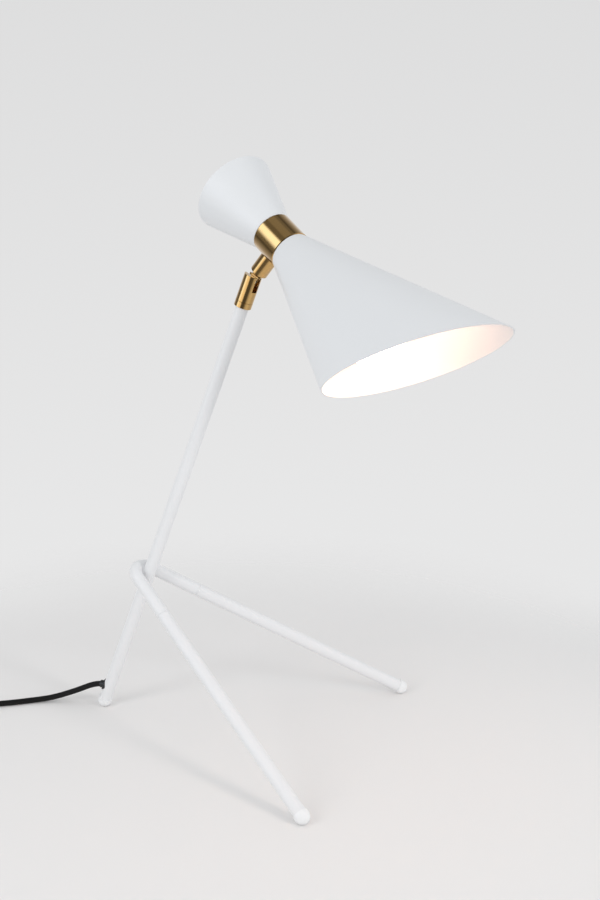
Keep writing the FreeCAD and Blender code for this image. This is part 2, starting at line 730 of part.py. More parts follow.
def build_light():
    """E14 lampholder with insert, spring contact and screw shell, and a small globe bulb."""
    holder_top = f"({HOLDER_FOOT} + holder_length)"
    floor = f"({HOLDER_FOOT} + holder_base)"
    inside = "(holder_diameter / 2 - holder_wall)"
    insert_top = f"({floor} + insert_height)"
    shell_inner = "(shell_inner_diameter / 2)"
    holder = turned("lampholder", [
        (NIPPLE_FIT, HOLDER_FOOT),
        ("holder_diameter / 2 - holder_base_chamfer", HOLDER_FOOT),
        ("holder_diameter / 2", f"{HOLDER_FOOT} + holder_base_chamfer"),
        ("holder_diameter / 2", holder_top),
        (inside, holder_top),
        (inside, floor),
        (NIPPLE_FIT, floor),
    ])
    keep(holder, "lampholder", waist_frame)
    insert = ring("insert_blank", "0", f"{inside} - slip_clearance", floor, insert_top)
    leads = [
        cylinder(f"insert_lead_{side}", "insert_lead_hole / 2", "insert_height * 4",
                 at(sign * value("wire_spacing / 2"), 0, value(f"{floor} - insert_height")))
        for side, sign in (("a", 1), ("b", -1))
    ]
    keep(cut("contact_insert", insert, leads), "contact_insert", waist_frame)
    shell_outer = f"{shell_inner} + shell_wall"
    shell = ring("screw_shell", shell_inner, shell_outer, insert_top, f"{insert_top} + shell_height")
    keep(shell, "screw_shell", waist_frame)
    spring = box("centre_contact", "spring_width", "spring_width", "spring_height", at(z=value(insert_top)))
    keep(spring, "centre_contact", waist_frame * spring.Placement)

    contact_foot = f"({insert_top} + spring_height)"
    cap_foot = f"({contact_foot} + cap_contact_height)"
    cap_top = f"({cap_foot} + cap_length)"
    cap = turned("bulb_cap", [
        ("0", contact_foot),
        ("cap_contact_diameter / 2", contact_foot),
        ("cap_diameter / 2", cap_foot),
        ("cap_diameter / 2", cap_top),
        ("0", cap_top),
    ])
    keep(cap, "bulb_cap", waist_frame)
    neck = "(cap_diameter / 2)"
    middle = f"({cap_top} + globe_reach - globe_diameter / 2)"
    shoulder = f"({middle} - sqrt((globe_diameter / 2)^2 - (cap_diameter / 2)^2))"
    thin_neck = f"({neck} - globe_wall)"
    thin_ball = "(globe_diameter / 2 - globe_wall)"
    thin_shoulder = f"({middle} - sqrt({thin_ball}^2 - {thin_neck}^2))"
    globe = turned("bulb_globe", [
        (thin_neck, cap_top),
        (neck, cap_top),
        (neck, shoulder, "globe_diameter / 2"),
        ("0", f"{middle} + globe_diameter / 2"),
        ("0", f"{middle} + {thin_ball}", f"-{thin_ball}"),
        (thin_neck, thin_shoulder),
    ])
    keep(globe, "bulb_globe", waist_frame)
    core = ring("bulb_core", "0", "core_diameter / 2", cap_top, f"{cap_top} + core_length")
    keep(core, "bulb_core", waist_frame)


def route_edges(points, largest=math.inf):
    """Straight runs joined by tangent arcs, each as large as its two runs and the limit allow.

    Returns the edges and the arcs' radii."""
    edges = []
    radii = []
    start = points[0]
    for before, corner, after in zip(points, points[1:], points[2:]):
        into = corner - before
        out = after - corner
        half_turn = into.getAngle(out) / 2
        radius = min(0.45 * min(into.Length, out.Length) / math.tan(half_turn), largest)
        reach = radius * math.tan(half_turn)
        into.normalize()
        out.normalize()
        arc_start = corner - into * reach
        arc_end = corner + out * reach
        inward = (out - into).normalize()
        arc_middle = corner + inward * (radius / math.cos(half_turn) - radius)
        edges.append(Part.LineSegment(start, arc_start).toShape())
        edges.append(Part.Arc(arc_start, arc_middle, arc_end).toShape())
        radii.append(radius)
        start = arc_end
    edges.append(Part.LineSegment(start, points[-1]).toShape())
    return edges, radii


def tube_shape(edges, diameter):
    """A round solid along joined edges."""
    path = Part.Wire(edges)
    first = edges[0]
    start = first.valueAt(first.FirstParameter)
    heading = first.tangentAt(first.FirstParameter)
    section = Part.Wire([Part.Circle(start, heading, diameter / 2).toShape()])
    shape = path.makePipeShell([section], True, False)
    expected = math.pi * diameter ** 2 / 4 * path.Length
    return shape, path.Length, shape.Volume / expected


def tube(name, edges, diameter):
    piece = doc.addObject("Part::Feature", name)
    piece.Shape, length, share = tube_shape(edges, diameter)
    print(f"{name}: length {length:.1f} mm, volume {share:.4f} of section times length")
    return piece


def build_wires():
    """Two conductors up the stem, and two through the tongue to the lampholder."""
    wire = value("wire_diameter")
    bend = value("wire_bend")
    outlet_axis = level_outlet.Rotation.multVec(Z_AXIS) * -1
    inner_end = outlet_middle + outlet_axis * inner_exit
    thread_top = value(f"{BARREL_BASE} + barrel_floor + washer_thickness + ring_nut_height + thread_spare")
    turn = math.radians(90 - value("stem_lean"))
    meeting = (stem_frame * at(z=value("cord_outlet"))).Base
    lift = outlet_middle.z - meeting.z
    corner = meeting + stem_up * (lift / stem_up.z)
    setback = bend * math.tan(turn / 2)
    stem_top = stem_frame.multVec(Vector(0, 0, value("stem_length") + thread_top))
    stem_wires = []
    for side in (1, -1):
        shift = Y_AXIS * (side * value("wire_spacing / 2"))
        arc_start = corner - outlet_axis * setback
        arc_end = corner + stem_up * setback
        inward = (stem_up - outlet_axis).normalize()
        arc_middle = corner + inward * (bend / math.cos(turn / 2) - bend)
        edges = [
            Part.LineSegment(inner_end + shift, arc_start + shift).toShape(),
            Part.Arc(arc_start + shift, arc_middle + shift, arc_end + shift).toShape(),
            Part.LineSegment(arc_end + shift, stem_top + shift).toShape(),
        ]
        stem_wires.append(tube(f"stem_wire_{'a' if side > 0 else 'b'}", edges, wire))
    keep(grouped("stem_wires", stem_wires), "stem_wires")

    head_wires = []
    beside_screw = value("pivot_diameter / 2 + running_clearance + wire_diameter / 2 + slip_clearance * 5")
    in_insert = value(f"{HOLDER_FOOT} + holder_base + insert_height / 2")
    for side in (1, -1):
        lane = side * value("wire_spacing / 2")
        low = tongue_in_waist.multVec(Vector(lane, 0, 0))
        rise = tongue_in_waist.multVec(Vector(lane, 0, 1)) - low
        edges, _ = route_edges([
            tilt_frame.multVec(Vector(side * beside_screw, 0, 0)),
            tilt_frame.multVec(Vector(side * beside_screw, 0, value("pivot_diameter"))),
            tilt_frame.multVec(Vector(lane, 0, value("tongue_shoulder - slot_clearance"))),
            tilt_frame.multVec(Vector(lane, 0, (lane - low.x) / rise.x)),
            waist_frame.multVec(Vector(lane, 0, in_insert)),
        ], value("lead_bend"))
        head_wires.append(tube(f"head_wire_{'a' if side > 0 else 'b'}", edges, wire))
    keep(grouped("head_wires", head_wires), "head_wires")


# Cord on the table: it drops from the nozzle, runs left past the lamp and is wound beside it
cord_start = level_outlet.multVec(Vector(0, 0, nozzle_end))
cord_lie = value("cord_diameter / 2")
switch_axis = value("switch_split")
RUN_POINTS = [
    cord_start,
    Vector(-11.5, 0, cord_start.z),
    Vector(-31, -4, 11.9),
    Vector(-53, -12.3, 4.2),
    Vector(-70, -22, cord_lie),
    Vector(-86, -34.5, cord_lie),
    Vector(-104, -46, cord_lie),
    Vector(-122, -56, switch_axis),
    Vector(-136, -63.7, switch_axis),
]
cord_heading = (RUN_POINTS[-1] - RUN_POINTS[-2]).normalize()
cord_side = Z_AXIS.cross(cord_heading)
switch_start = RUN_POINTS[-1]
switch_frame = Placement(
    switch_start + cord_heading * value("switch_length / 2") - Z_AXIS * switch_axis,
    Rotation(cord_heading, cord_side, Z_AXIS, "ZXY"),
)
switch_end = switch_start + cord_heading * value("switch_length")
coil_lie = cord_lie + value("tie_thickness + tie_slack")
link_lead = value("link_lead")
link_slope = value("link_slope")
link_lift = Z_AXIS * (coil_lie - switch_axis)
LINK_POINTS = [
    switch_end,
    switch_end + cord_heading * link_lead,
    switch_end + cord_heading * (link_lead + link_slope) + link_lift,
    switch_end + cord_heading * (2 * link_lead + link_slope) + link_lift,
]
coil_centre = LINK_POINTS[-1] + cord_side * value("coil_radius") + cord_heading * value("cord_diameter")


def coil_point(turns):
    """A place on the wound cord: in on the lower layer, then a climb, then out on the upper one."""
    half = value("coil_turns") / 2
    radius = value("coil_radius") - value("coil_pitch") * (half - abs(turns - half))
    climb = min(max((turns - half + 0.25) / 0.5, 0), 1)
    lift = value("coil_pitch") * (climb - math.sin(2 * math.pi * climb) / (2 * math.pi))
    angle = 2 * math.pi * turns
    outward = cord_side * -math.cos(angle) + cord_heading * math.sin(angle)
    return coil_centre + outward * radius + Z_AXIS * lift


def coil_tangent(turns):
    step = 1e-4
    return (coil_point(turns + step) - coil_point(turns - step)).normalize()


def arc_from(start, corner, end):
    """The arc from start to end whose tangents meet at the corner."""
    middle = (start + end) / 2
    rise = corner - middle
    half_chord = (end - start).Length / 2
    sagitta = half_chord * math.tan(math.atan2(rise.Length, half_chord) / 2)
    return Part.Arc(start, middle + rise.normalize() * sagitta, end).toShape()


def biarc(start, start_heading, end, end_heading):
    """Two arcs that join two places with the given headings."""
    chord = end - start
    both = start_heading + end_heading
    spread = 2 * (1 - start_heading.dot(end_heading))
    along = chord.dot(both)
    reach = (math.sqrt(along ** 2 + spread * chord.dot(chord)) - along) / spread
    first = start + start_heading * reach
    last = end - end_heading * reach
    joint = (first + last) / 2
    return [arc_from(start, first, joint), arc_from(joint, last, end)]


def coil_edges():
    """Quarter turns of the wound cord, with a straight end of one diameter at each side."""
    quarters = math.ceil(value("coil_turns") * 4)
    stops = [value("coil_turns") * step / quarters for step in range(quarters + 1)]
    places = [coil_point(stop) for stop in stops]
    headings = [coil_tangent(stop) for stop in stops]
    headings[0] = cord_heading
    straight = value("cord_diameter")
    edges = [Part.LineSegment(places[0] - headings[0] * straight, places[0]).toShape()]
    for index in range(quarters):
        edges += biarc(places[index], headings[index], places[index + 1], headings[index + 1])
    tail = places[-1] + headings[-1] * straight
    edges.append(Part.LineSegment(places[-1], tail).toShape())
    return edges, tail, headings[-1]


def least_self_gap():
    """The smallest gap between the wound cord and itself, on points half a turn apart or more."""
    per_turn = 48
    count = int(value("coil_turns") * per_turn)
    places = [coil_point(index / per_turn) for index in range(count + 1)]
    nearest = min(
        (places[first] - places[second]).Length
        for first in range(count + 1)
        for second in range(first + per_turn // 2, count + 1)
    )
    return nearest - value("cord_diameter")


def build_cord():
    """The free stretches, the wound length and its tie. Returns where the plug begins and how it points."""
    diameter = value("cord_diameter")
    into_switch = cord_heading * value("switch_wall * 2")
    run_edges, radii = route_edges(RUN_POINTS)
    run_edges.append(Part.LineSegment(switch_start, switch_start + into_switch).toShape())
    print("cord_run radii:", [round(radius, 1) for radius in radii])
    keep(tube("cord_run", run_edges, diameter), "cord_run")
    link_edges, radii = route_edges(LINK_POINTS)
    link_edges.insert(0, Part.LineSegment(switch_end - into_switch, switch_end).toShape())
    print("cord_link radii:", [round(radius, 1) for radius in radii])
    keep(tube("cord_link", link_edges, diameter), "cord_link")
    wound, tail_start, tail_heading = coil_edges()
    keep(tube("cord_coil", wound, diameter), "cord_coil")
    print(f"cord_coil: least gap to itself {least_self_gap():.2f} mm")

    drop = Z_AXIS * (value("plug_height / 2") - tail_start.z)
    tail_lead = value("tail_lead")
    tail_slope = value("tail_slope")
    tail_points = [
        tail_start,
        tail_start + tail_heading * tail_lead,
        tail_start + tail_heading * (tail_lead + tail_slope) + drop,
        tail_start + tail_heading * (2 * tail_lead + tail_slope) + drop,
    ]
    tail_edges, radii = route_edges(tail_points)
    plug_start = tail_points[-1]
    into_plug = tail_heading * value("plug_cord_depth")
    tail_edges.append(Part.LineSegment(plug_start, plug_start + into_plug).toShape())
    print("cord_tail radii:", [round(radius, 1) for radius in radii])
    keep(tube("cord_tail", tail_edges, diameter), "cord_tail")

    outer = "(coil_radius + cord_diameter / 2 + tie_slack + tie_thickness)"
    narrowest = "(coil_radius - coil_pitch * coil_turns / 2 - cord_diameter / 2)"
    inner = f"(sqrt({narrowest}^2 - (tie_width / 2)^2) - tie_slack - tie_thickness)"
    height = "(coil_pitch + cord_diameter + 2 * tie_slack + 2 * tie_thickness)"
    length = f"({outer} - {inner})"
    middle = at(value(f"({outer} + {inner}) / 2"))
    strap = box("tie_strap", length, "tie_width", height, middle)
    space = box(
        "tie_space", f"{length} - 2 * tie_thickness", "tie_width * 2", f"{height} - 2 * tie_thickness",
        middle * at(z=value("tie_thickness")),
    )
    facing = math.degrees(math.atan2(cord_heading.y, cord_heading.x)) + value("tie_angle")
    keep(cut("cord_tie", strap, [space]), "cord_tie", at(coil_centre.x, coil_centre.y, angle=facing))
    return plug_start, tail_heading


def build_switch():
    """In-line switch: base and cover shells held by two screws, and a rocker on its axle."""
    height = "(switch_split + switch_cover_height)"
    inner_length = "(switch_length - 2 * switch_wall)"
    inner_width = "(switch_width - 2 * switch_wall)"
    inner_corner = "(switch_corner - switch_wall)"
    post_places = [
        at(value("switch_post_offset"), value("switch_post_side")),
        at(-value("switch_post_offset"), -value("switch_post_side")),
    ]
    entry = at(-value("switch_length"), 0, value("switch_split"), Y_AXIS, 90)

    def cord_way(name):
        return cylinder(name, "cord_diameter / 2 + slip_clearance", "switch_length * 2", entry)

    shell = rounded_box("switch_base_shell", "switch_length", "switch_width", "switch_split", "switch_corner")
    cavity = rounded_box(
        "switch_base_cavity", inner_length, inner_width, "switch_split", inner_corner,
        at(z=value("switch_wall")),
    )
    hollow = cut("switch_base_hollow", shell, [cavity])
    posts = [
        cylinder(f"base_post_{index}", "switch_post_diameter / 2", "switch_split", place)
        for index, place in enumerate(post_places)
    ]
    shafts = [
        cylinder(f"base_shaft_{index}", "switch_screw_diameter / 2 + slip_clearance", height, place)
        for index, place in enumerate(post_places)
    ]
    sinks = [
        cylinder(
            f"base_sink_{index}", "switch_screw_head / 2 + slip_clearance", "switch_screw_head_depth", place
        )
        for index, place in enumerate(post_places)
    ]
    base = fused("switch_base_solid", [hollow] + posts)
    keep(cut("switch_base", base, [cord_way("base_cord_way")] + shafts + sinks), "switch_base", switch_frame)

    above = at(z=value("switch_split"))
    cover_shell = rounded_box(
        "switch_cover_shell", "switch_length", "switch_width", "switch_cover_height", "switch_corner", above
    )
    cover_cavity = rounded_box(
        "switch_cover_cavity", inner_length, inner_width, "switch_cover_height - switch_wall", inner_corner,
        above,
    )
    cover_hollow = cut("switch_cover_hollow", cover_shell, [cover_cavity])
    cover_posts = [
        cylinder(f"cover_post_{index}", "switch_post_diameter / 2", "switch_cover_height", above * place)
        for index, place in enumerate(post_places)
    ]
    cheek_gap = "(rocker_width + 2 * rocker_slack)"
    roof = f"({height} - switch_wall)"
    cheeks = []
    for side in (1, -1):
        offset = side * value(f"{cheek_gap} / 2 + cheek_wall / 2")
        foot = at(0, offset, value(f"{roof} - cheek_depth"))
        name = "cheek_a" if side > 0 else "cheek_b"
        cheeks.append(box(name, "cheek_length", "cheek_wall", "cheek_depth", foot))
    pivot_height = f"({height} - rocker_pivot_drop)"
    axle_way = at(0, -value("switch_width"), value(pivot_height), X_AXIS, -90)
    axle_hole = cylinder(
        "cheek_hole", "rocker_axle / 2 + running_clearance", "switch_width * 2", axle_way
    )
    cheek_blocks = cut("switch_cheeks", fused("cheek_pair", cheeks), [axle_hole])
    window = box(
        "rocker_window", "rocker_length + 2 * rocker_slack", cheek_gap, height,
        at(z=value(f"{roof} - switch_wall")),
    )
    blind = [
        cylinder(f"cover_shaft_{index}", "switch_screw_diameter / 2 + slip_clearance",
                 f"{roof}", place)
        for index, place in enumerate(post_places)
    ]
    cover = fused("switch_cover_solid", [cover_hollow, cheek_blocks] + cover_posts)
    keep(
        cut("switch_cover", cover, [window, cord_way("cover_cord_way")] + blind), "switch_cover", switch_frame
    )

    screws = []
    for index, place in enumerate(post_places):
        screw = turned(f"switch_screw_{index}", [
            ("0", "slip_clearance"),
            ("switch_screw_head / 2", "slip_clearance"),
            ("switch_screw_head / 2", "switch_screw_head_depth"),
            ("switch_screw_diameter / 2", "switch_screw_head_depth"),
            ("switch_screw_diameter / 2", f"{roof} - switch_wall"),
            ("0", f"{roof} - switch_wall"),
        ])
        screw.Placement = switch_frame * place
        screws.append(screw)
    keep(grouped("switch_screws", screws), "switch_screws")

    body = doc.addObject("PartDesign::Body", "rocker_body")
    crown = "(rocker_pivot_drop + rocker_dip)"
    sketch = outline_sketch(body, [
        ("-rocker_length / 3", f"{crown} - rocker_height"),
        ("rocker_length / 3", f"{crown} - rocker_height"),
        ("rocker_length / 2", crown),
        ("0", f"{crown} - rocker_dip"),
        ("-rocker_length / 2", crown),
    ])
    pad = body.newObject("PartDesign::Pad", "rocker_pad")
    pad.Profile = (sketch, [""])
    pad.setExpression("Length", bind("rocker_width"))
    pad.SideType = "Symmetric"
    axle_foot = at(0, -value("rocker_axle_length / 2"), 0, X_AXIS, -90)
    axle = cylinder("rocker_pin", "rocker_axle / 2", "rocker_axle_length", axle_foot)
    lying = switch_frame * at(z=value(pivot_height), axis=Y_AXIS, angle=value("rocker_throw_angle"))
    keep(fused("switch_rocker", [body, axle]), "switch_rocker", lying)


def build_plug(start, heading):
    """Flat two-pin plug with a tapered strain relief, lying on the table at the cord's end."""
    facing = at(start.x, start.y, start.z, angle=math.degrees(math.atan2(heading.y, heading.x)))
    along = at(axis=Y_AXIS, angle=90)
    body_foot = at(value("plug_relief_length + plug_length / 2"), 0, -value("plug_height / 2"))
    block = rounded_box("plug_block", "plug_length", "plug_width", "plug_height", "plug_corner", body_foot)
    relief = bound(
        "Part::Cone", "plug_relief", along,
        Radius1="plug_relief_tip / 2", Radius2="plug_relief_root / 2", Height="plug_relief_length",
    )
    relief_root = along * at(z=value("plug_relief_length"))
    core = cylinder("plug_core", "plug_relief_root / 2", "plug_length / 2", relief_root)
    cord_hole = cylinder("plug_cord_hole", "cord_diameter / 2 + slip_clearance", "plug_cord_depth", along)
    front = value("plug_relief_length + plug_length")
    pins = []
    sockets = []
    for name, side in (("a", 1), ("b", -1)):
        foot = at(front - value("plug_pin_root"), side * value("plug_pin_spacing / 2")) * along
        sockets.append(
            cylinder(f"plug_socket_{name}", "plug_pin_diameter / 2 + slip_clearance", "plug_length", foot)
        )
        pin = cylinder(f"plug_pin_{name}", "plug_pin_diameter / 2", "plug_pin_root + plug_pin_length")
        pin.Placement = facing * foot
        pins.append(pin)
    solid = fused("plug_solid", [block, relief, core])
    keep(cut("plug_body", solid, [cord_hole] + sockets), "plug_body", facing)
    keep(grouped("plug_pins", pins), "plug_pins")


def write_pieces():
    """Stops if any object failed; otherwise writes each sub-part to its own file."""
    doc.recompute()
    for item in doc.Objects:
        if "Invalid" in item.State or "Error" in item.State:
            raise RuntimeError(f"{item.Name} failed: {item.State}")
    for label, piece in PIECES.items():
        if piece.Shape.isNull() or not piece.Shape.isValid() or not piece.Shape.Solids:
            raise RuntimeError(f"{label} has no valid shape")
    os.makedirs("parts", exist_ok=True)
    for label, piece in PIECES.items():
        piece.Shape.exportStep(f"parts/{label}.step")
        print(f"{label}: {len(piece.Shape.Solids)} solid(s), {piece.Shape.Volume:.1f} mm3")


build_rods()
build_feet()
build_grommet()
build_swivel()
build_fork()
build_tongue()
build_waist()
build_shade()
build_light()
build_wires()
plug_place, plug_heading = build_cord()
build_switch()
build_plug(plug_place, plug_heading)
write_pieces()
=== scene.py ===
import math

import bmesh
import bpy
from mathutils import Matrix, Vector


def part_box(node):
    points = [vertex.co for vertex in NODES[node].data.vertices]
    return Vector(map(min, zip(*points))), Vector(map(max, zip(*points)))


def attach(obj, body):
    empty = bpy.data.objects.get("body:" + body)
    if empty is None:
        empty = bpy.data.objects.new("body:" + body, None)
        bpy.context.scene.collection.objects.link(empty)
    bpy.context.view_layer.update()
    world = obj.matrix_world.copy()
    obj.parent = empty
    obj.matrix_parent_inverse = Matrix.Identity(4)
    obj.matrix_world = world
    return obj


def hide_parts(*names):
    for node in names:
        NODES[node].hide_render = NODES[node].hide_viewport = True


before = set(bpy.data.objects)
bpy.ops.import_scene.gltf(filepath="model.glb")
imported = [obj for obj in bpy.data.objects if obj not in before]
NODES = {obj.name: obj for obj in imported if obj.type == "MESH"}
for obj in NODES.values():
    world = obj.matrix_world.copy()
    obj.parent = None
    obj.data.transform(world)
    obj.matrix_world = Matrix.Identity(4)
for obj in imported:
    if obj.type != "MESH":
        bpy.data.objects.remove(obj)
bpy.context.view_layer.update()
scene = bpy.context.scene
MM = 0.001
UP = Vector((0, 0, 1))

# Stem, knuckle, tongue and shade at rest: where each starts along the one before, in millimetres, and its turn
STEM_START, STEM_LEAN = 6.2, 21
KNUCKLE_START, KNUCKLE_TURN = 430.2, -24.2
TONGUE_START, TONGUE_LEAN = 21.6, 20.8
SHADE_START, SHADE_LEAN = 50.5, 90 - 8.9


def turned_frame(start, axis, degrees):
    """A frame that starts some way up Z, in millimetres, and is turned about one axis."""
    return Matrix.Translation(Vector((0, 0, start)) * MM) @ Matrix.Rotation(math.radians(degrees), 4, axis)


STEM = turned_frame(STEM_START, "Y", STEM_LEAN)
KNUCKLE = STEM @ turned_frame(KNUCKLE_START, "Z", KNUCKLE_TURN)
TONGUE = KNUCKLE @ turned_frame(TONGUE_START, "Y", TONGUE_LEAN)
SHADE = TONGUE @ turned_frame(SHADE_START, "Y", SHADE_LEAN)

# Camera, fitted to the feet, rods and shade in the photograph
SENSOR_WIDTH = 36
FOCAL_LENGTH = 53.83
CLIP_NEAR, CLIP_FAR = 0.01, 60
CAMERA_PLACE = (0.63215, -1.07018, 0.59035)
CAMERA_RIGHT = (0.92973, 0.36825, 0)
CAMERA_UP = (-0.09502, 0.23988, 0.96614)
CAMERA_BACK = (0.35579, -0.89825, 0.25801)


def make_camera():
    """The photograph's viewpoint."""
    lens = bpy.data.cameras.new("photo_camera")
    lens.sensor_width = SENSOR_WIDTH
    lens.lens = FOCAL_LENGTH
    lens.clip_start = CLIP_NEAR
    lens.clip_end = CLIP_FAR
    camera = bpy.data.objects.new("photo_camera", lens)
    facing = Matrix((CAMERA_RIGHT, CAMERA_UP, CAMERA_BACK)).transposed().to_4x4()
    camera.matrix_world = Matrix.Translation(CAMERA_PLACE) @ facing
    scene.collection.objects.link(camera)
    scene.camera = camera


make_camera()


# Node building
def feed(tree, socket, term):
    """Links a socket to another node's output, or sets it to a plain value."""
    if isinstance(term, bpy.types.NodeSocket):
        tree.links.new(term, socket)
    else:
        socket.default_value = term


def add_node(tree, kind, inputs=None, **settings):
    """A node with its settings, and its inputs linked or set by name or number."""
    node = tree.nodes.new(kind)
    for name, setting in settings.items():
        setattr(node, name, setting)
    for name, term in (inputs or {}).items():
        feed(tree, node.inputs[name], term)
    return node


def number(tree, operation, *terms, clamp=False):
    """A Math node on sockets or plain numbers."""
    return add_node(tree, "ShaderNodeMath", dict(enumerate(terms)), operation=operation, use_clamp=clamp).outputs[0]


def rest_of(tree, share):
    """What a share leaves of 1."""
    return number(tree, "SUBTRACT", 1.0, share)


def weighted(tree, first, share, second):
    """The first value by its share and the second by the rest, added."""
    return number(tree, "MULTIPLY_ADD", first, share, number(tree, "MULTIPLY", second, 1 - share))


def between(tree, factor, low, high):
    """A value that runs from low to high as the factor runs from 0 to 1."""
    node = add_node(tree, "ShaderNodeMapRange", {"Value": factor, "To Min": low, "To Max": high})
    return node.outputs["Result"]


def ranged(tree, value, low, high, interpolation="LINEAR"):
    """0 up to low, 1 from high on, and even between."""
    limits = {"Value": value, "From Min": low, "From Max": high}
    return add_node(tree, "ShaderNodeMapRange", limits, interpolation_type=interpolation).outputs["Result"]


def stepped(tree, value, low, high):
    """0 up to low, 1 from high on, and smooth between."""
    return ranged(tree, value, low, high, "SMOOTHSTEP")


def along(tree, vector, direction):
    """How far a vector reaches in a direction."""
    node = add_node(tree, "ShaderNodeVectorMath", {0: vector, 1: direction}, operation="DOT_PRODUCT")
    return node.outputs["Value"]


def stretched(tree, vector, factors):
    """A vector with each of its parts scaled."""
    return add_node(tree, "ShaderNodeVectorMath", {0: vector, 1: factors}, operation="MULTIPLY").outputs[0]


def noise(tree, vector, scale, detail=2.0, roughness=0.5):
    inputs = {"Vector": vector, "Scale": scale, "Detail": detail, "Roughness": roughness}
    return add_node(tree, "ShaderNodeTexNoise", inputs).outputs["Fac"]


def tinted(tree, factor, first, second):
    """A colour between two, by a factor."""
    node = add_node(tree, "ShaderNodeMix", {"Factor": factor}, data_type="RGBA")
    ends = [socket for socket in node.inputs if socket.type == "RGBA"]
    for socket, term in zip(ends, (first, second)):
        feed(tree, socket, (*term, 1) if isinstance(term, tuple) else term)
    return next(socket for socket in node.outputs if socket.type == "RGBA")


def mixed(tree, factor, first, second):
    """A shader that passes from one to another by a factor."""
    return add_node(tree, "ShaderNodeMixShader", {"Fac": factor, 1: first, 2: second}).outputs[0]


# Surface groups that several finishes share
SURFACE_INPUTS = [
    ("Vector", "NodeSocketVector"),
    ("Colour", "NodeSocketColor"),
    ("Second Colour", "NodeSocketColor"),
    ("Roughness Low", "NodeSocketFloat"),
    ("Roughness High", "NodeSocketFloat"),
    ("Grain Size", "NodeSocketFloat"),
]
SURFACE_OUTPUTS = [
    ("Colour", "NodeSocketColor"),
    ("Roughness", "NodeSocketFloat"),
    ("Height", "NodeSocketFloat"),
]
# a noise feature is about this large at scale 1
NOISE_FEATURE = 0.5
MOTTLE_SCALE = 34.0
BLOTCH_SCALE = 9.0
HANDLING_SCALE = 120.0
RING_STRETCH = (0.06, 0.06, 1.0)
STREAK_STRETCH = (1.0, 1.0, 0.12)


def open_group(name):
    """An empty surface group; returns its tree, its start and its end."""
    tree = bpy.data.node_groups.new(name, "ShaderNodeTree")
    for in_out, sockets in (("INPUT", SURFACE_INPUTS), ("OUTPUT", SURFACE_OUTPUTS)):
        for socket_name, kind in sockets:
            tree.interface.new_socket(socket_name, in_out=in_out, socket_type=kind)
    return tree, tree.nodes.new("NodeGroupInput"), tree.nodes.new("NodeGroupOutput")


def close_group(tree, start, end, tone, wear, height):
    """Runs the group's colours by the tone and its roughness by the wear, and ends the group."""
    colour = tinted(tree, tone, start.outputs["Colour"], start.outputs["Second Colour"])
    rough = between(tree, wear, start.outputs["Roughness Low"], start.outputs["Roughness High"])
    for name, socket in (("Colour", colour), ("Roughness", rough), ("Height", height)):
        tree.links.new(socket, end.inputs[name])


def grain_scale(tree, start):
    """Noise scale whose features are about as large as the group's grain size, in metres."""
    return number(tree, "DIVIDE", NOISE_FEATURE, start.outputs["Grain Size"])


def make_coat_group():
    """Powder coat or moulded skin: fine orange peel over a faint, wide mottling."""
    tree, start, end = open_group("fine_coat")
    vector = start.outputs["Vector"]
    peel = noise(tree, vector, grain_scale(tree, start), detail=3.0)
    mottle = noise(tree, vector, MOTTLE_SCALE)
    blotch = number(tree, "MULTIPLY", mottle, noise(tree, vector, BLOTCH_SCALE, detail=1.0))
    close_group(tree, start, end, tone=blotch, wear=weighted(tree, peel, 0.5, mottle), height=peel)
    return tree


def make_lathe_group():
    """Turned metal: fine rings along the piece's own Z, with short scratches and handling marks."""
    tree, start, end = open_group("lathe_marks")
    vector = start.outputs["Vector"]
    rings = noise(tree, stretched(tree, vector, RING_STRETCH), grain_scale(tree, start), detail=4.0)
    streaks = noise(tree, stretched(tree, vector, STREAK_STRETCH), grain_scale(tree, start))
    marks = noise(tree, vector, HANDLING_SCALE, detail=3.0, roughness=0.6)
    close_group(
        tree, start, end, tone=weighted(tree, rings, 0.5, marks), wear=weighted(tree, streaks, 0.45, marks),
        height=weighted(tree, rings, 0.6, streaks),
    )
    return tree


COAT = make_coat_group()
LATHE = make_lathe_group()

# Materials
GRAIN_DEPTH = 0.0001
BRASS_COLOURS = ((0.64, 0.395, 0.13), (0.55, 0.325, 0.095))


def new_material(name):
    material = bpy.data.materials.new(name)
    material.use_nodes = True
    tree = material.node_tree
    tree.nodes.clear()
    shader = tree.nodes.new("ShaderNodeBsdfPrincipled")
    output = tree.nodes.new("ShaderNodeOutputMaterial")
    tree.links.new(shader.outputs["BSDF"], output.inputs["Surface"])
    return material, tree, shader


def bumped(tree, shader, height, strength, distance):
    bump = add_node(tree, "ShaderNodeBump", {"Strength": strength, "Distance": distance, "Height": height})
    tree.links.new(bump.outputs["Normal"], shader.inputs["Normal"])


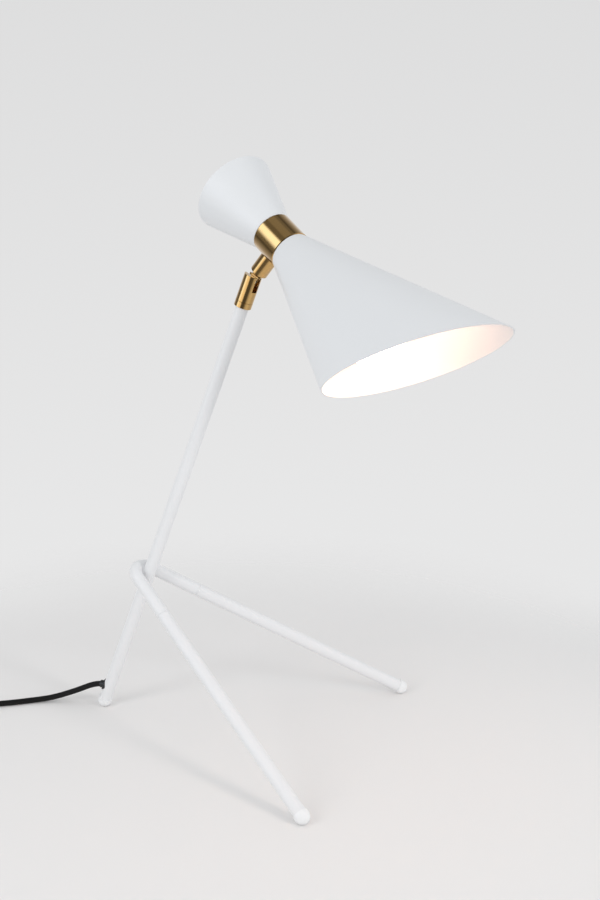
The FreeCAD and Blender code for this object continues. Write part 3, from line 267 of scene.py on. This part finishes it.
def surfaced(name, group, colour, second, rough, grain, bump, axis_frame=None, metallic=0.0, sockets=None):
    """A material from one of the surface groups. axis_frame turns the pattern to a piece's own axis."""
    material, tree, shader = new_material(name)
    vector = add_node(tree, "ShaderNodeTexCoord").outputs["Object"]
    if axis_frame is not None:
        place = {"Vector": vector, "Location": axis_frame.to_translation(), "Rotation": axis_frame.to_euler()}
        vector = add_node(tree, "ShaderNodeMapping", place, vector_type="TEXTURE").outputs["Vector"]
    surface = add_node(tree, "ShaderNodeGroup", node_tree=group)
    for socket, term in (
        ("Vector", vector), ("Colour", (*colour, 1)), ("Second Colour", (*second, 1)),
        ("Roughness Low", rough[0]), ("Roughness High", rough[1]), ("Grain Size", grain),
    ):
        feed(tree, surface.inputs[socket], term)
    tree.links.new(surface.outputs["Colour"], shader.inputs["Base Color"])
    tree.links.new(surface.outputs["Roughness"], shader.inputs["Roughness"])
    bumped(tree, shader, surface.outputs["Height"], bump, GRAIN_DEPTH)
    shader.inputs["Metallic"].default_value = metallic
    for socket, value in (sockets or {}).items():
        shader.inputs[socket].default_value = value
    return material


def white_coat(name, colour, second, gloss, axis_frame=None):
    """Satin powder coat."""
    return surfaced(
        name, COAT, colour, second, rough=(0.30, 0.44), grain=0.0004, bump=0.03, axis_frame=axis_frame,
        sockets={"Specular IOR Level": gloss},
    )


def brass(name, axis_frame, rough):
    """Lacquered brass."""
    return surfaced(
        name, LATHE, *BRASS_COLOURS, rough, grain=0.0005, bump=0.04, axis_frame=axis_frame, metallic=1.0,
        sockets={"Coat Weight": 1.0, "Coat Roughness": 0.08},
    )


def plated(name, axis_frame, colour=(0.62, 0.62, 0.63), second=(0.50, 0.50, 0.52)):
    """Turned metal with a bright plating."""
    return surfaced(
        name, LATHE, colour, second, rough=(0.22, 0.40), grain=0.0004, bump=0.08, axis_frame=axis_frame, metallic=1.0,
    )


def moulded(name, colour, second, rough=(0.42, 0.60)):
    """Moulded or pressed skin with a fine grain."""
    return surfaced(name, COAT, colour, second, rough, grain=0.0003, bump=0.12)


YARNS_ROUND = 12.0
FIBRE_SCALE = 2600.0
# the yarns' colour at their edges, darker as painted shade, and along their tops
YARN_EDGE_PAINTED_SHADE, YARN_TOP = (0.003, 0.003, 0.003), (0.016, 0.014, 0.013)


def wave(tree, turns):
    """A sine with half a wave for each turn."""
    return number(tree, "SINE", number(tree, "MULTIPLY", turns, math.pi))


def make_textile():
    """Braided sleeve: two sets of yarns crossing on the cord's own UV map."""
    material, tree, shader = new_material("black_textile_braid")
    place = add_node(tree, "ShaderNodeUVMap", uv_map="braid")
    split = add_node(tree, "ShaderNodeSeparateXYZ", {0: place.outputs["UV"]})
    around, lengthways = [number(tree, "MULTIPLY", split.outputs[part], YARNS_ROUND) for part in ("X", "Y")]
    first_yarn, second_yarn = [
        number(tree, "ABSOLUTE", wave(tree, number(tree, slant, around, lengthways))) for slant in ("ADD", "SUBTRACT")
    ]
    over = number(tree, "GREATER_THAN", wave(tree, around), 0.0)
    under_part = number(tree, "MULTIPLY", second_yarn, rest_of(tree, over))
    weave = number(tree, "ADD", number(tree, "MULTIPLY", first_yarn, over), under_part)
    fibres = noise(tree, add_node(tree, "ShaderNodeTexCoord").outputs["Object"], FIBRE_SCALE)
    tone = number(tree, "MULTIPLY", weave, fibres, clamp=True)
    # painted shade: each yarn darker towards its edges, following the weave
    tree.links.new(tinted(tree, tone, YARN_EDGE_PAINTED_SHADE, YARN_TOP), shader.inputs["Base Color"])
    tree.links.new(between(tree, fibres, 0.62, 0.85), shader.inputs["Roughness"])
    bumped(tree, shader, weave, strength=0.5, distance=0.0003)
    shader.inputs["Specular IOR Level"].default_value = 0.3
    shader.inputs["Sheen Weight"].default_value = 0.03
    shader.inputs["Sheen Roughness"].default_value = 0.5
    return material


GLOBE_DIAMETER = 45 * MM
FROST_SCALE = 700.0
FROST_COLOURS = ((0.92, 0.90, 0.86), (0.97, 0.95, 0.92))
GLOW_COLOURS = ((1.0, 0.59, 0.395), (1.0, 0.61, 0.415))
GLOW_AT_CAP = (0.146, 0.088, 0.059)
GLOW_STRENGTH = 13.7


def make_lit_glass():
    """Frosted globe, lit from inside: warm, and brighter at its front than beside its cap."""
    material, tree, shader = new_material("frosted_globe_lit")
    vector = add_node(tree, "ShaderNodeTexCoord").outputs["Object"]
    frost = noise(tree, vector, FROST_SCALE, detail=3.0)
    axis = SHADE.to_3x3() @ UP
    front = max(vertex.co.dot(axis) for vertex in NODES["bulb_globe"].data.vertices)
    forward = ranged(tree, along(tree, vector, axis), front - GLOBE_DIAMETER, front)
    glow = tinted(tree, forward, GLOW_AT_CAP, tinted(tree, frost, *GLOW_COLOURS))
    tree.links.new(glow, shader.inputs["Emission Color"])
    tree.links.new(tinted(tree, frost, *FROST_COLOURS), shader.inputs["Base Color"])
    tree.links.new(between(tree, frost, 0.35, 0.55), shader.inputs["Roughness"])
    shader.inputs["Emission Strength"].default_value = GLOW_STRENGTH
    return material


TEXTILE = make_textile()

# Cord. Its routes are in millimetres
CORD_RADIUS = 2.75
CORD_DIAMETER = 2 * CORD_RADIUS * MM
SWITCH_HEIGHT = 7.0
RUN_ROUTE = [
    (-2.2, 0, 22.55), (-9.5, 0, 22.3), (-31, -4, 11.9), (-53, -12.3, 4.2), (-70, -22, CORD_RADIUS),
    (-86, -34.5, CORD_RADIUS), (-104, -46, CORD_RADIUS), (-122, -56, SWITCH_HEIGHT), (-136, -63.7, SWITCH_HEIGHT),
]
HEADING = (Vector(RUN_ROUTE[-1]) - Vector(RUN_ROUTE[-2])).normalized()
SIDE = UP.cross(HEADING)
SWITCH_LENGTH = 58.0
# reach of the link's points from the switch, and of the tail's points from the coil
LINK_LEVEL_POINTS = (-3, 12)
LINK_LOW_POINT = 30
LINK_LENGTH = 42
TAIL_HIGH_POINT = 10
TAIL_LOW_POINTS = (28, 38, 45)
COIL_RADIUS = 43.5
COIL_PITCH = 6.0
COIL_TURNS = 7.42
COIL_LIE = 3.95
COIL_LEAD = 5.5
CLIMB_TURNS = 0.5
POINTS_PER_TURN = 16
PLUG_HEIGHT = 13.7
switch_end = Vector(RUN_ROUTE[-1]) + HEADING * SWITCH_LENGTH
link_end = switch_end + HEADING * LINK_LENGTH
link_end.z = COIL_LIE
coil_middle = link_end + SIDE * COIL_RADIUS + HEADING * COIL_LEAD


def coil_place(turns):
    """A control point of the wound cord, set out a little because the spline cuts inside its corners."""
    half = COIL_TURNS / 2
    radius = COIL_RADIUS - COIL_PITCH * (half - abs(turns - half))
    climb = min(max((turns - half + CLIMB_TURNS / 2) / CLIMB_TURNS, 0), 1)
    lift = COIL_PITCH * (climb - math.sin(math.tau * climb) / math.tau)
    angle = math.tau * turns
    outward = HEADING * math.sin(angle) - SIDE * math.cos(angle)
    return coil_middle + outward * radius / math.cos(math.pi / POINTS_PER_TURN) + UP * lift


def lead_route():
    """From the switch down to the coil, round it, and out to the plug."""
    route = [switch_end + HEADING * reach for reach in LINK_LEVEL_POINTS]
    slope_end = switch_end + HEADING * LINK_LOW_POINT
    slope_end.z = COIL_LIE
    route.append(slope_end)
    steps = round(COIL_TURNS * POINTS_PER_TURN)
    route += [coil_place(COIL_TURNS * step / steps) for step in range(steps + 1)]
    ahead = (coil_place(COIL_TURNS) - coil_place(COIL_TURNS - 0.01)).normalized()
    ahead.z = 0
    last = coil_place(COIL_TURNS) + ahead * COIL_LEAD
    drop = UP * (PLUG_HEIGHT / 2 - last.z)
    route.append(last + ahead * TAIL_HIGH_POINT)
    route += [last + ahead * reach + drop for reach in TAIL_LOW_POINTS]
    return route


def spline_line(name, route, resolution):
    """Points along the smooth line that a route's control points give."""
    data = bpy.data.curves.new(name, "CURVE")
    data.dimensions = "3D"
    data.resolution_u = resolution
    spline = data.splines.new("NURBS")
    spline.points.add(len(route) - 1)
    for point, place in zip(spline.points, route):
        point.co = (*(Vector(place) * MM), 1)
    spline.order_u = 3
    spline.use_endpoint_u = True
    holder = bpy.data.objects.new(name, data)
    scene.collection.objects.link(holder)
    mesh = bpy.data.meshes.new_from_object(holder.evaluated_get(bpy.context.evaluated_depsgraph_get()))
    line = [vertex.co.copy() for vertex in mesh.vertices]
    bpy.data.objects.remove(holder)
    bpy.data.meshes.remove(mesh)
    return line


def tube_along(name, line, diameter, material, sides):
    """A closed tube on a line, with a UV map that runs round it and along it."""
    shape = bmesh.new()
    uv = shape.loops.layers.uv.new("braid")
    rings = []
    lengths = [0.0]
    across = None
    for index, place in enumerate(line):
        before = line[max(index - 1, 0)]
        after = line[min(index + 1, len(line) - 1)]
        ahead = (after - before).normalized()
        if across is None:
            across = ahead.orthogonal().normalized()
        across = (across - ahead * across.dot(ahead)).normalized()
        other = ahead.cross(across)
        if index:
            lengths.append(lengths[-1] + (place - before).length)
        rings.append([
            shape.verts.new(place + (across * math.cos(turn) + other * math.sin(turn)) * diameter / 2)
            for turn in (math.tau * step / sides for step in range(sides))
        ])
    round_length = math.pi * diameter
    for index in range(len(rings) - 1):
        for step in range(sides):
            following = (step + 1) % sides
            face = shape.faces.new(
                (rings[index][step], rings[index][following], rings[index + 1][following], rings[index + 1][step])
            )
            face.smooth = True
            corners = ((step, index), (step + 1, index), (step + 1, index + 1), (step, index + 1))
            for loop, (turn, ring) in zip(face.loops, corners):
                loop[uv].uv = (turn / sides, lengths[ring] / round_length)
    shape.faces.new(list(reversed(rings[0])))
    shape.faces.new(rings[-1])
    mesh = bpy.data.meshes.new(name)
    shape.to_mesh(mesh)
    shape.free()
    mesh.materials.append(material)
    piece = bpy.data.objects.new(name, mesh)
    scene.collection.objects.link(piece)
    return piece


run_line = spline_line("run_line", RUN_ROUTE, resolution=18)
lead_line = spline_line("lead_line", lead_route(), resolution=7)
cord_to_switch = tube_along("cord_to_switch", run_line, CORD_DIAMETER, TEXTILE, sides=24)
cord_to_plug = tube_along("cord_to_plug", lead_line, CORD_DIAMETER, TEXTILE, sides=20)

# Geometry Nodes
SOCKET_KINDS = {int: "NodeSocketInt", float: "NodeSocketFloat", type(None): "NodeSocketMaterial"}


def geometry_tree(name, inputs):
    """An empty tree with named inputs; returns the tree, its start and its end."""
    tree = bpy.data.node_groups.new(name, "GeometryNodeTree")
    for socket_name, default in inputs.items():
        socket = tree.interface.new_socket(socket_name, in_out="INPUT", socket_type=SOCKET_KINDS[type(default)])
        if default is not None:
            socket.default_value = default
    tree.interface.new_socket("Geometry", in_out="OUTPUT", socket_type="NodeSocketGeometry")
    return tree, tree.nodes.new("NodeGroupInput"), tree.nodes.new("NodeGroupOutput")


def close_tree(tree, start, end, geometry):
    """Realizes the instances, sets smooth shading and the material, and ends the tree."""
    real = add_node(tree, "GeometryNodeRealizeInstances", {0: geometry})
    smooth = add_node(tree, "GeometryNodeSetShadeSmooth", {0: real.outputs[0]})
    finish = {"Geometry": smooth.outputs[0], "Material": start.outputs["Material"]}
    painted = add_node(tree, "GeometryNodeSetMaterial", finish)
    tree.links.new(painted.outputs[0], end.inputs[0])


def grown(name, tree, values, place):
    """The plain mesh that a tree gives for these inputs, put in its place."""
    seed = bpy.data.objects.new(name + "_seed", bpy.data.meshes.new(name + "_seed"))
    scene.collection.objects.link(seed)
    modifier = seed.modifiers.new("grow", "NODES")
    modifier.node_group = tree
    for item in tree.interface.items_tree:
        if item.item_type == "SOCKET" and item.in_out == "INPUT" and item.name in values:
            modifier[item.identifier] = values[item.name]
    mesh = bpy.data.meshes.new_from_object(seed.evaluated_get(bpy.context.evaluated_depsgraph_get()))
    seed.modifiers.clear()
    bpy.data.objects.remove(seed)
    mesh.transform(place)
    mesh.name = name
    piece = bpy.data.objects.new(name, mesh)
    scene.collection.objects.link(piece)
    return piece


def swept(tree, path, section):
    """A section's outline carried along a path."""
    ends = {"Curve": path.outputs["Curve"], "Profile Curve": section.outputs["Curve"]}
    return add_node(tree, "GeometryNodeCurveToMesh", ends).outputs["Mesh"]


def rounded_rectangle(tree, width, height, radius, count):
    """A rectangle's outline with its corners rounded in a count of steps."""
    outline = add_node(tree, "GeometryNodeCurvePrimitiveQuadrilateral", {"Width": width, "Height": height})
    corners = {"Curve": outline.outputs["Curve"], "Count": count, "Radius": radius}
    return add_node(tree, "GeometryNodeFilletCurve", corners, mode="POLY")


def make_strap_tree():
    """A flat band bent round a rounded rectangle."""
    tree, start, end = geometry_tree("strap_loop", {
        "Length": 0.03, "Height": 0.014, "Corner": 0.003, "Width": 0.008, "Thickness": 0.001, "Material": None,
    })
    size = start.outputs
    loop = rounded_rectangle(tree, size["Length"], size["Height"], size["Corner"], count=8)
    section = rounded_rectangle(tree, size["Thickness"], size["Width"], radius=0.0003, count=3)
    close_tree(tree, start, end, swept(tree, loop, section))
    return tree


def make_rib_tree():
    """Rounded rings in a row along Z, whose radius runs from one size to another."""
    tree, start, end = geometry_tree("rib_row", {
        "Count": 5, "Length": 0.01, "First Radius": 0.004, "Last Radius": 0.005, "Thickness": 0.0008,
        "Material": None,
    })
    size = start.outputs
    row_end = add_node(tree, "ShaderNodeCombineXYZ", {"Z": size["Length"]}).outputs[0]
    row = add_node(tree, "GeometryNodeMeshLine", {"Count": size["Count"], "Offset": row_end}, mode="END_POINTS")
    circle = "GeometryNodeCurvePrimitiveCircle"
    ring = add_node(tree, circle, {"Resolution": 48, "Radius": size["First Radius"]})
    half = number(tree, "MULTIPLY", size["Thickness"], 0.5)
    section = add_node(tree, circle, {"Resolution": 10, "Radius": half})
    index = add_node(tree, "GeometryNodeInputIndex").outputs[0]
    share = number(tree, "DIVIDE", index, number(tree, "SUBTRACT", size["Count"], 1.0))
    ratio = number(tree, "DIVIDE", size["Last Radius"], size["First Radius"])
    growth = between(tree, share, 1.0, ratio)
    scale = add_node(tree, "ShaderNodeCombineXYZ", {"X": growth, "Y": growth, "Z": 1.0}).outputs[0]
    stand = add_node(tree, "GeometryNodeInstanceOnPoints", {
        "Points": row.outputs["Mesh"], "Instance": swept(tree, ring, section), "Scale": scale,
    })
    close_tree(tree, start, end, stand.outputs["Instances"])
    return tree


BLACK_PLASTIC = moulded("black_moulded", (0.014, 0.014, 0.015), (0.028, 0.028, 0.029))
STRAP_PLASTIC = moulded("strap_moulded", (0.03, 0.03, 0.031), (0.05, 0.05, 0.052), (0.5, 0.7))
HOLDER_PLASTIC = moulded("holder_moulded", (0.82, 0.81, 0.78), (0.76, 0.75, 0.72))

# Strap round the coil: its band, its loop and its place, in millimetres
STRAP_WIDTH = 8
STRAP_THICKNESS = 1
STRAP_CLEARANCE = 1.2
STRAP_HEIGHT = 12.9
STRAP_CORNER = 3.2
STRAP_MIDDLE_HEIGHT = 6.95
STRAP_TURN = 20
narrowest = COIL_RADIUS - COIL_PITCH * COIL_TURNS / 2 - CORD_RADIUS
strap_inner = math.sqrt(narrowest ** 2 - (STRAP_WIDTH / 2) ** 2) - STRAP_CLEARANCE
strap_outer = COIL_RADIUS + CORD_RADIUS + STRAP_CLEARANCE
strap_turn = math.atan2(HEADING.y, HEADING.x) + math.radians(STRAP_TURN)
strap_place = (
    Matrix.Translation((coil_middle.x * MM, coil_middle.y * MM, STRAP_MIDDLE_HEIGHT * MM))
    @ Matrix.Rotation(strap_turn, 4, "Z")
    @ Matrix.Translation(((strap_inner + strap_outer) / 2 * MM, 0, 0))
    @ Matrix.Rotation(math.pi / 2, 4, "X")
)
coil_strap = grown("coil_strap", make_strap_tree(), {
    "Length": (strap_outer - strap_inner - STRAP_THICKNESS) * MM, "Height": STRAP_HEIGHT * MM,
    "Corner": STRAP_CORNER * MM, "Width": STRAP_WIDTH * MM, "Thickness": STRAP_THICKNESS * MM,
    "Material": STRAP_PLASTIC,
}, strap_place)
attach(coil_strap, "base")
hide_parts("cord_tie")

# Ribs of the plug's strain relief and of the lampholder's skirt: where their rows start, in millimetres
RELIEF_START = 1.4
HOLDER_START = 89.5
RIBS = make_rib_tree()
plug_low, plug_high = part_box("plug_body")
plug_entry = Matrix.Translation((plug_low.x, (plug_low.y + plug_high.y) / 2, PLUG_HEIGHT / 2 * MM))
relief_ribs = grown("relief_ribs", RIBS, {
    "Count": 6, "Length": 10.5 * MM, "First Radius": 3.85 * MM, "Last Radius": 5.2 * MM, "Thickness": 1.1 * MM,
    "Material": BLACK_PLASTIC,
}, plug_entry @ Matrix.Rotation(math.pi / 2, 4, "Y") @ Matrix.Translation((0, 0, RELIEF_START * MM)))
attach(relief_ribs, "base")
holder_ridges = grown("holder_ridges", RIBS, {
    "Count": 9, "Length": 20 * MM, "First Radius": 12.85 * MM, "Last Radius": 12.85 * MM, "Thickness": 1.3 * MM,
    "Material": HOLDER_PLASTIC,
}, SHADE @ Matrix.Translation((0, 0, HOLDER_START * MM)))
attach(holder_ridges, "head")

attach(cord_to_switch, "base")
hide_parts("cord_run")
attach(cord_to_plug, "base")
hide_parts("cord_link", "cord_coil", "cord_tail")

# Finishes of the solid pieces
FINISHES = {
    # one white paint in two tones: the rods' copy is painted lighter and the shade's darker, as painted light and
    # shade
    white_coat("white_coat_rods_painted_lighter", (0.84, 0.843, 0.852), (0.81, 0.813, 0.822), gloss=0.2): [
        "stem_tube", "hairpin_bracket", "bracket_weld", "left_leg", "right_leg",
    ],
    white_coat("white_coat_lampshade_painted_darker", (0.80, 0.813, 0.828), (0.775, 0.788, 0.803), gloss=0.4, axis_frame=SHADE): [
        "front_cone", "rear_cone",
    ],
    moulded("white_foot", (0.89, 0.895, 0.90), (0.86, 0.865, 0.87), (0.34, 0.46)): [
        "rear_foot", "left_foot", "right_foot",
    ],
    brass("satin_brass_knuckle", KNUCKLE, (0.13, 0.20)): ["swivel_base", "swivel_barrel", "fork"],
    brass("polished_brass_tongue", TONGUE, (0.10, 0.17)): ["tongue", "pivot_screw"],
    brass("polished_brass_collar", SHADE, (0.10, 0.17)): ["waist_collar"],
    plated("plated_steel_swivel", STEM): ["swivel_stop_pin", "swivel_washer", "swivel_nut", "leg_studs"],
    plated("plated_steel_waist", SHADE): [
        "tongue_nut", "clamp_nipple", "rear_washer", "rear_nut", "front_washer", "front_nut",
    ],
    plated("plated_steel_small", None): ["switch_screws"],
    plated("nickel_plated", SHADE, (0.72, 0.70, 0.64), (0.60, 0.58, 0.52)): [
        "screw_shell", "centre_contact", "bulb_cap", "plug_pins",
    ],
    moulded("fibre_washer", (0.03, 0.027, 0.025), (0.05, 0.045, 0.042), (0.6, 0.8)): ["friction_washers"],
    BLACK_PLASTIC: ["cord_grommet", "switch_base", "switch_cover", "plug_body"],
    moulded("rocker_moulded", (0.018, 0.018, 0.019), (0.03, 0.03, 0.031), (0.25, 0.4)): ["switch_rocker"],
    moulded("wire_sleeving", (0.60, 0.60, 0.59), (0.54, 0.54, 0.53)): ["stem_wires", "head_wires"],
    HOLDER_PLASTIC: ["lampholder"],
    moulded("pressed_ceramic", (0.80, 0.78, 0.74), (0.72, 0.70, 0.66), (0.5, 0.7)): ["contact_insert"],
    make_lit_glass(): ["bulb_globe"],
    moulded("lamp_core", (0.90, 0.86, 0.78), (0.85, 0.80, 0.72)): ["bulb_core"],
}
for material, names in FINISHES.items():
    for name in names:
        NODES[name].data.materials.clear()
        NODES[name].data.materials.append(material)

# Studio: the floor, and the two soft boxes that light the lamp
FLOOR_COLOUR = (0.848, 0.832, 0.822, 1)
FLOOR_MIDDLE = Vector((0.13, 0.0, 0.0))
FLOOR_RADIUS = 1.0
FLOOR_FADE = (0.22, 0.60)
SOFT_BOXES = {
    "soft_box_left": {"place": (-0.55, -1.35, 0.90), "size": (0.55, 0.9), "power": 5.8},
    "soft_box_right": {"place": (1.58, -0.485, 0.7), "size": (0.30, 0.62), "power": 5.5},
}
LIT_PLACE = Vector((0.17, 0, 0.33))
# the room's soft light: a level at the left and one at the right of each part, and how widely the parts blend
ROOM_LEVELS = {
    "sky_back": (0.85, 0.74), "sky_near": (0.70, 0.74),
    "ground_back": (0.78, 0.75), "ground_near": (0.75, 0.72),
}
ROOM_TINT = (0.97, 0.985, 1.0, 1)
ROOM_BLEND = (-0.5, 0.5)
HORIZON_BLEND = (-0.15, 0.15)
VIEW_RIGHT = Vector((0.93, 0.37, 0))
VIEW_NEAR = Vector((0.37, -0.93, 0))
# the backdrop that the camera sees: its colours from low to high, darker towards the top, and a band of painted shade
# where the floor meets it
WALL_RANGE = (-0.30, 0.06)
WALL_COLOURS = ((0.80, 0.80, 0.802), (0.733, 0.733, 0.735))
PAINTED_SHADE_BAND_UPPER = (0.350, 0.392)
PAINTED_SHADE_BAND_LOWER = (0.390, 0.460)
PAINTED_SHADE_BAND_COLOUR = (0.725, 0.727, 0.732)
# what polished metal sees: levels from the backdrop (0) round to the camera's side (1)
TO_CAMERA_SIDE = Vector((0.356, -0.898, 0.258))
REFLECTED_ROUND = [
    (0.08, 0.75), (0.18, 0.46), (0.32, 0.22), (0.39, 0.07), (0.44, 0.20), (0.64, 0.20), (0.88, 0.10),
]
# levels of the table, from the side that the camera stands on to the far right
TABLE_SIDE = Vector((0.50, 0.50, -0.71))
REFLECTED_TABLE = [(0.05, 0.0), (0.42, 0.72), (0.72, 0.90), (0.94, 0.64)]
# the ceiling
CEILING_SIDE = Vector((-0.14, 0.0, 0.99))
CEILING_EDGE = (0.90, 0.98)
REFLECTED_CEILING = 0.30
# a large soft box on the camera's left, and its light away from and on its brightest side
BOX_SIDE = Vector((-0.568, -0.781, 0.260))
BOX_HALF = (0.50, 0.59)
BOX_EDGE = 0.13
BOX_FRONT = (0.1, 0.3)
BOX_BRIGHTEST_SIDE = Vector((-0.78, -0.50, 0.38))
BOX_BRIGHTEST_EDGE = (0.84, 0.95)
REFLECTED_BOX = ((1.45, 1.42, 1.40), (1.95, 2.25, 2.8))


def make_soft_box(name, place, size, power):
    """A soft box that looks at the lamp and is seen by neither the camera nor polished metal."""
    data = bpy.data.lights.new(name, "AREA")
    data.shape = "RECTANGLE"
    data.size, data.size_y = size
    data.energy = power
    light = bpy.data.objects.new(name, data)
    facing = (LIT_PLACE - Vector(place)).to_track_quat("-Z", "Y")
    light.matrix_world = Matrix.Translation(place) @ facing.to_matrix().to_4x4()
    light.visible_camera = False
    light.visible_glossy = False
    scene.collection.objects.link(light)


def make_floor():
    """Pale floor that fades into the backdrop behind and around the lamp."""
    shape = bmesh.new()
    bmesh.ops.create_circle(shape, cap_ends=True, segments=96, radius=FLOOR_RADIUS)
    mesh = bpy.data.meshes.new("floor")
    shape.to_mesh(mesh)
    shape.free()
    mesh.transform(Matrix.Translation(FLOOR_MIDDLE))
    floor = bpy.data.objects.new("floor", mesh)
    scene.collection.objects.link(floor)
    material, tree, shader = new_material("studio_floor")
    shader.inputs["Base Color"].default_value = FLOOR_COLOUR
    shader.inputs["Roughness"].default_value = 0.85
    shader.inputs["Specular IOR Level"].default_value = 0.2
    place = add_node(tree, "ShaderNodeTexCoord").outputs["Object"]
    distance = add_node(tree, "ShaderNodeVectorMath", {0: place, 1: FLOOR_MIDDLE}, operation="DISTANCE")
    fade = stepped(tree, distance.outputs["Value"], *FLOOR_FADE)
    clear = add_node(tree, "ShaderNodeBsdfTransparent")
    output = next(node for node in tree.nodes if node.type == "OUTPUT_MATERIAL")
    tree.links.new(mixed(tree, fade, shader.outputs["BSDF"], clear.outputs["BSDF"]), output.inputs["Surface"])
    mesh.materials.append(material)


def room_light(tree, way):
    """Soft light from all round, blended smoothly from the room's levels."""
    rightward = stepped(tree, along(tree, way, VIEW_RIGHT), *ROOM_BLEND)
    nearness = stepped(tree, along(tree, way, VIEW_NEAR), *ROOM_BLEND)
    heights = []
    for height in ("ground", "sky"):
        walls = [between(tree, rightward, *ROOM_LEVELS[f"{height}_{wall}"]) for wall in ("back", "near")]
        heights.append(between(tree, nearness, *walls))
    return between(tree, stepped(tree, along(tree, way, UP), *HORIZON_BLEND), *heights)


def wall_with_painted_shade(tree, way):
    """The backdrop's pale colour, with a band of painted shade where the floor meets it."""
    upward = along(tree, way, UP)
    downward = number(tree, "MULTIPLY", upward, -1.0)
    above_lower_edge = rest_of(tree, stepped(tree, downward, *PAINTED_SHADE_BAND_LOWER))
    # painted shade: a grey band where the floor meets the backdrop
    band = number(tree, "MULTIPLY", stepped(tree, downward, *PAINTED_SHADE_BAND_UPPER), above_lower_edge)
    return tinted(tree, band, tinted(tree, ranged(tree, upward, *WALL_RANGE), *WALL_COLOURS), PAINTED_SHADE_BAND_COLOUR)


def levels(tree, value, stops):
    """A grey level that runs through the stops as the value runs from 0 to 1."""
    ramp = add_node(tree, "ShaderNodeValToRGB", {"Fac": value})
    elements = ramp.color_ramp.elements
    for place, _ in stops[1:-1]:
        elements.new(place)
    for element, (place, level) in zip(elements, stops):
        element.position = place
        element.color = (level, level, level, 1)
    return ramp.outputs["Color"]


def box_mask(tree, way):
    """1 inside the large soft box as seen from the lamp, 0 outside, with a soft edge."""
    sideways = UP.cross(BOX_SIDE).normalized()
    upright = BOX_SIDE.cross(sideways)
    ahead = along(tree, way, BOX_SIDE)
    mask = stepped(tree, ahead, *BOX_FRONT)
    for direction, half in zip((sideways, upright), BOX_HALF):
        offset = number(tree, "ABSOLUTE", number(tree, "DIVIDE", along(tree, way, direction), ahead))
        outside = stepped(tree, offset, half - BOX_EDGE, half + BOX_EDGE)
        mask = number(tree, "MULTIPLY", mask, rest_of(tree, outside))
    return mask


def reflected_colour(tree, way):
    """The room that polished metal shows: the brightest of wall, table and ceiling, and the box in front of them."""
    toward = number(tree, "MULTIPLY_ADD", along(tree, way, TO_CAMERA_SIDE), 0.5, 0.5)
    table = levels(tree, along(tree, way, TABLE_SIDE), REFLECTED_TABLE)
    seen = number(tree, "MAXIMUM", levels(tree, toward, REFLECTED_ROUND), table)
    overhead = stepped(tree, along(tree, way, CEILING_SIDE), *CEILING_EDGE)
    seen = number(tree, "MAXIMUM", seen, number(tree, "MULTIPLY", overhead, REFLECTED_CEILING))
    brightness = stepped(tree, along(tree, way, BOX_BRIGHTEST_SIDE), *BOX_BRIGHTEST_EDGE)
    return tinted(tree, box_mask(tree, way), seen, tinted(tree, brightness, *REFLECTED_BOX))


def make_backdrop():
    """A pale wall to the camera, a room made for polished metal in reflections, and soft levels as light."""
    world = bpy.data.worlds.new("studio")
    scene.world = world
    world.use_nodes = True
    tree = world.node_tree
    tree.nodes.clear()
    paths = add_node(tree, "ShaderNodeLightPath").outputs
    way = add_node(tree, "ShaderNodeTexCoord").outputs["Generated"]
    backdrop = "ShaderNodeBackground"
    light = add_node(tree, backdrop, {"Color": ROOM_TINT, "Strength": room_light(tree, way)}).outputs[0]
    pale = add_node(tree, backdrop, {"Color": wall_with_painted_shade(tree, way)}).outputs[0]
    mirrored = add_node(tree, backdrop, {"Color": reflected_colour(tree, way)}).outputs[0]
    glossy = number(tree, "MAXIMUM", paths["Is Glossy Ray"], paths["Is Transmission Ray"])
    unseen = mixed(tree, glossy, light, mirrored)
    output = add_node(tree, "ShaderNodeOutputWorld")
    tree.links.new(mixed(tree, paths["Is Camera Ray"], unseen, pale), output.inputs["Surface"])


make_floor()
make_backdrop()
for name, settings in SOFT_BOXES.items():
    make_soft_box(name, **settings)

scene.view_settings.view_transform = "Standard"
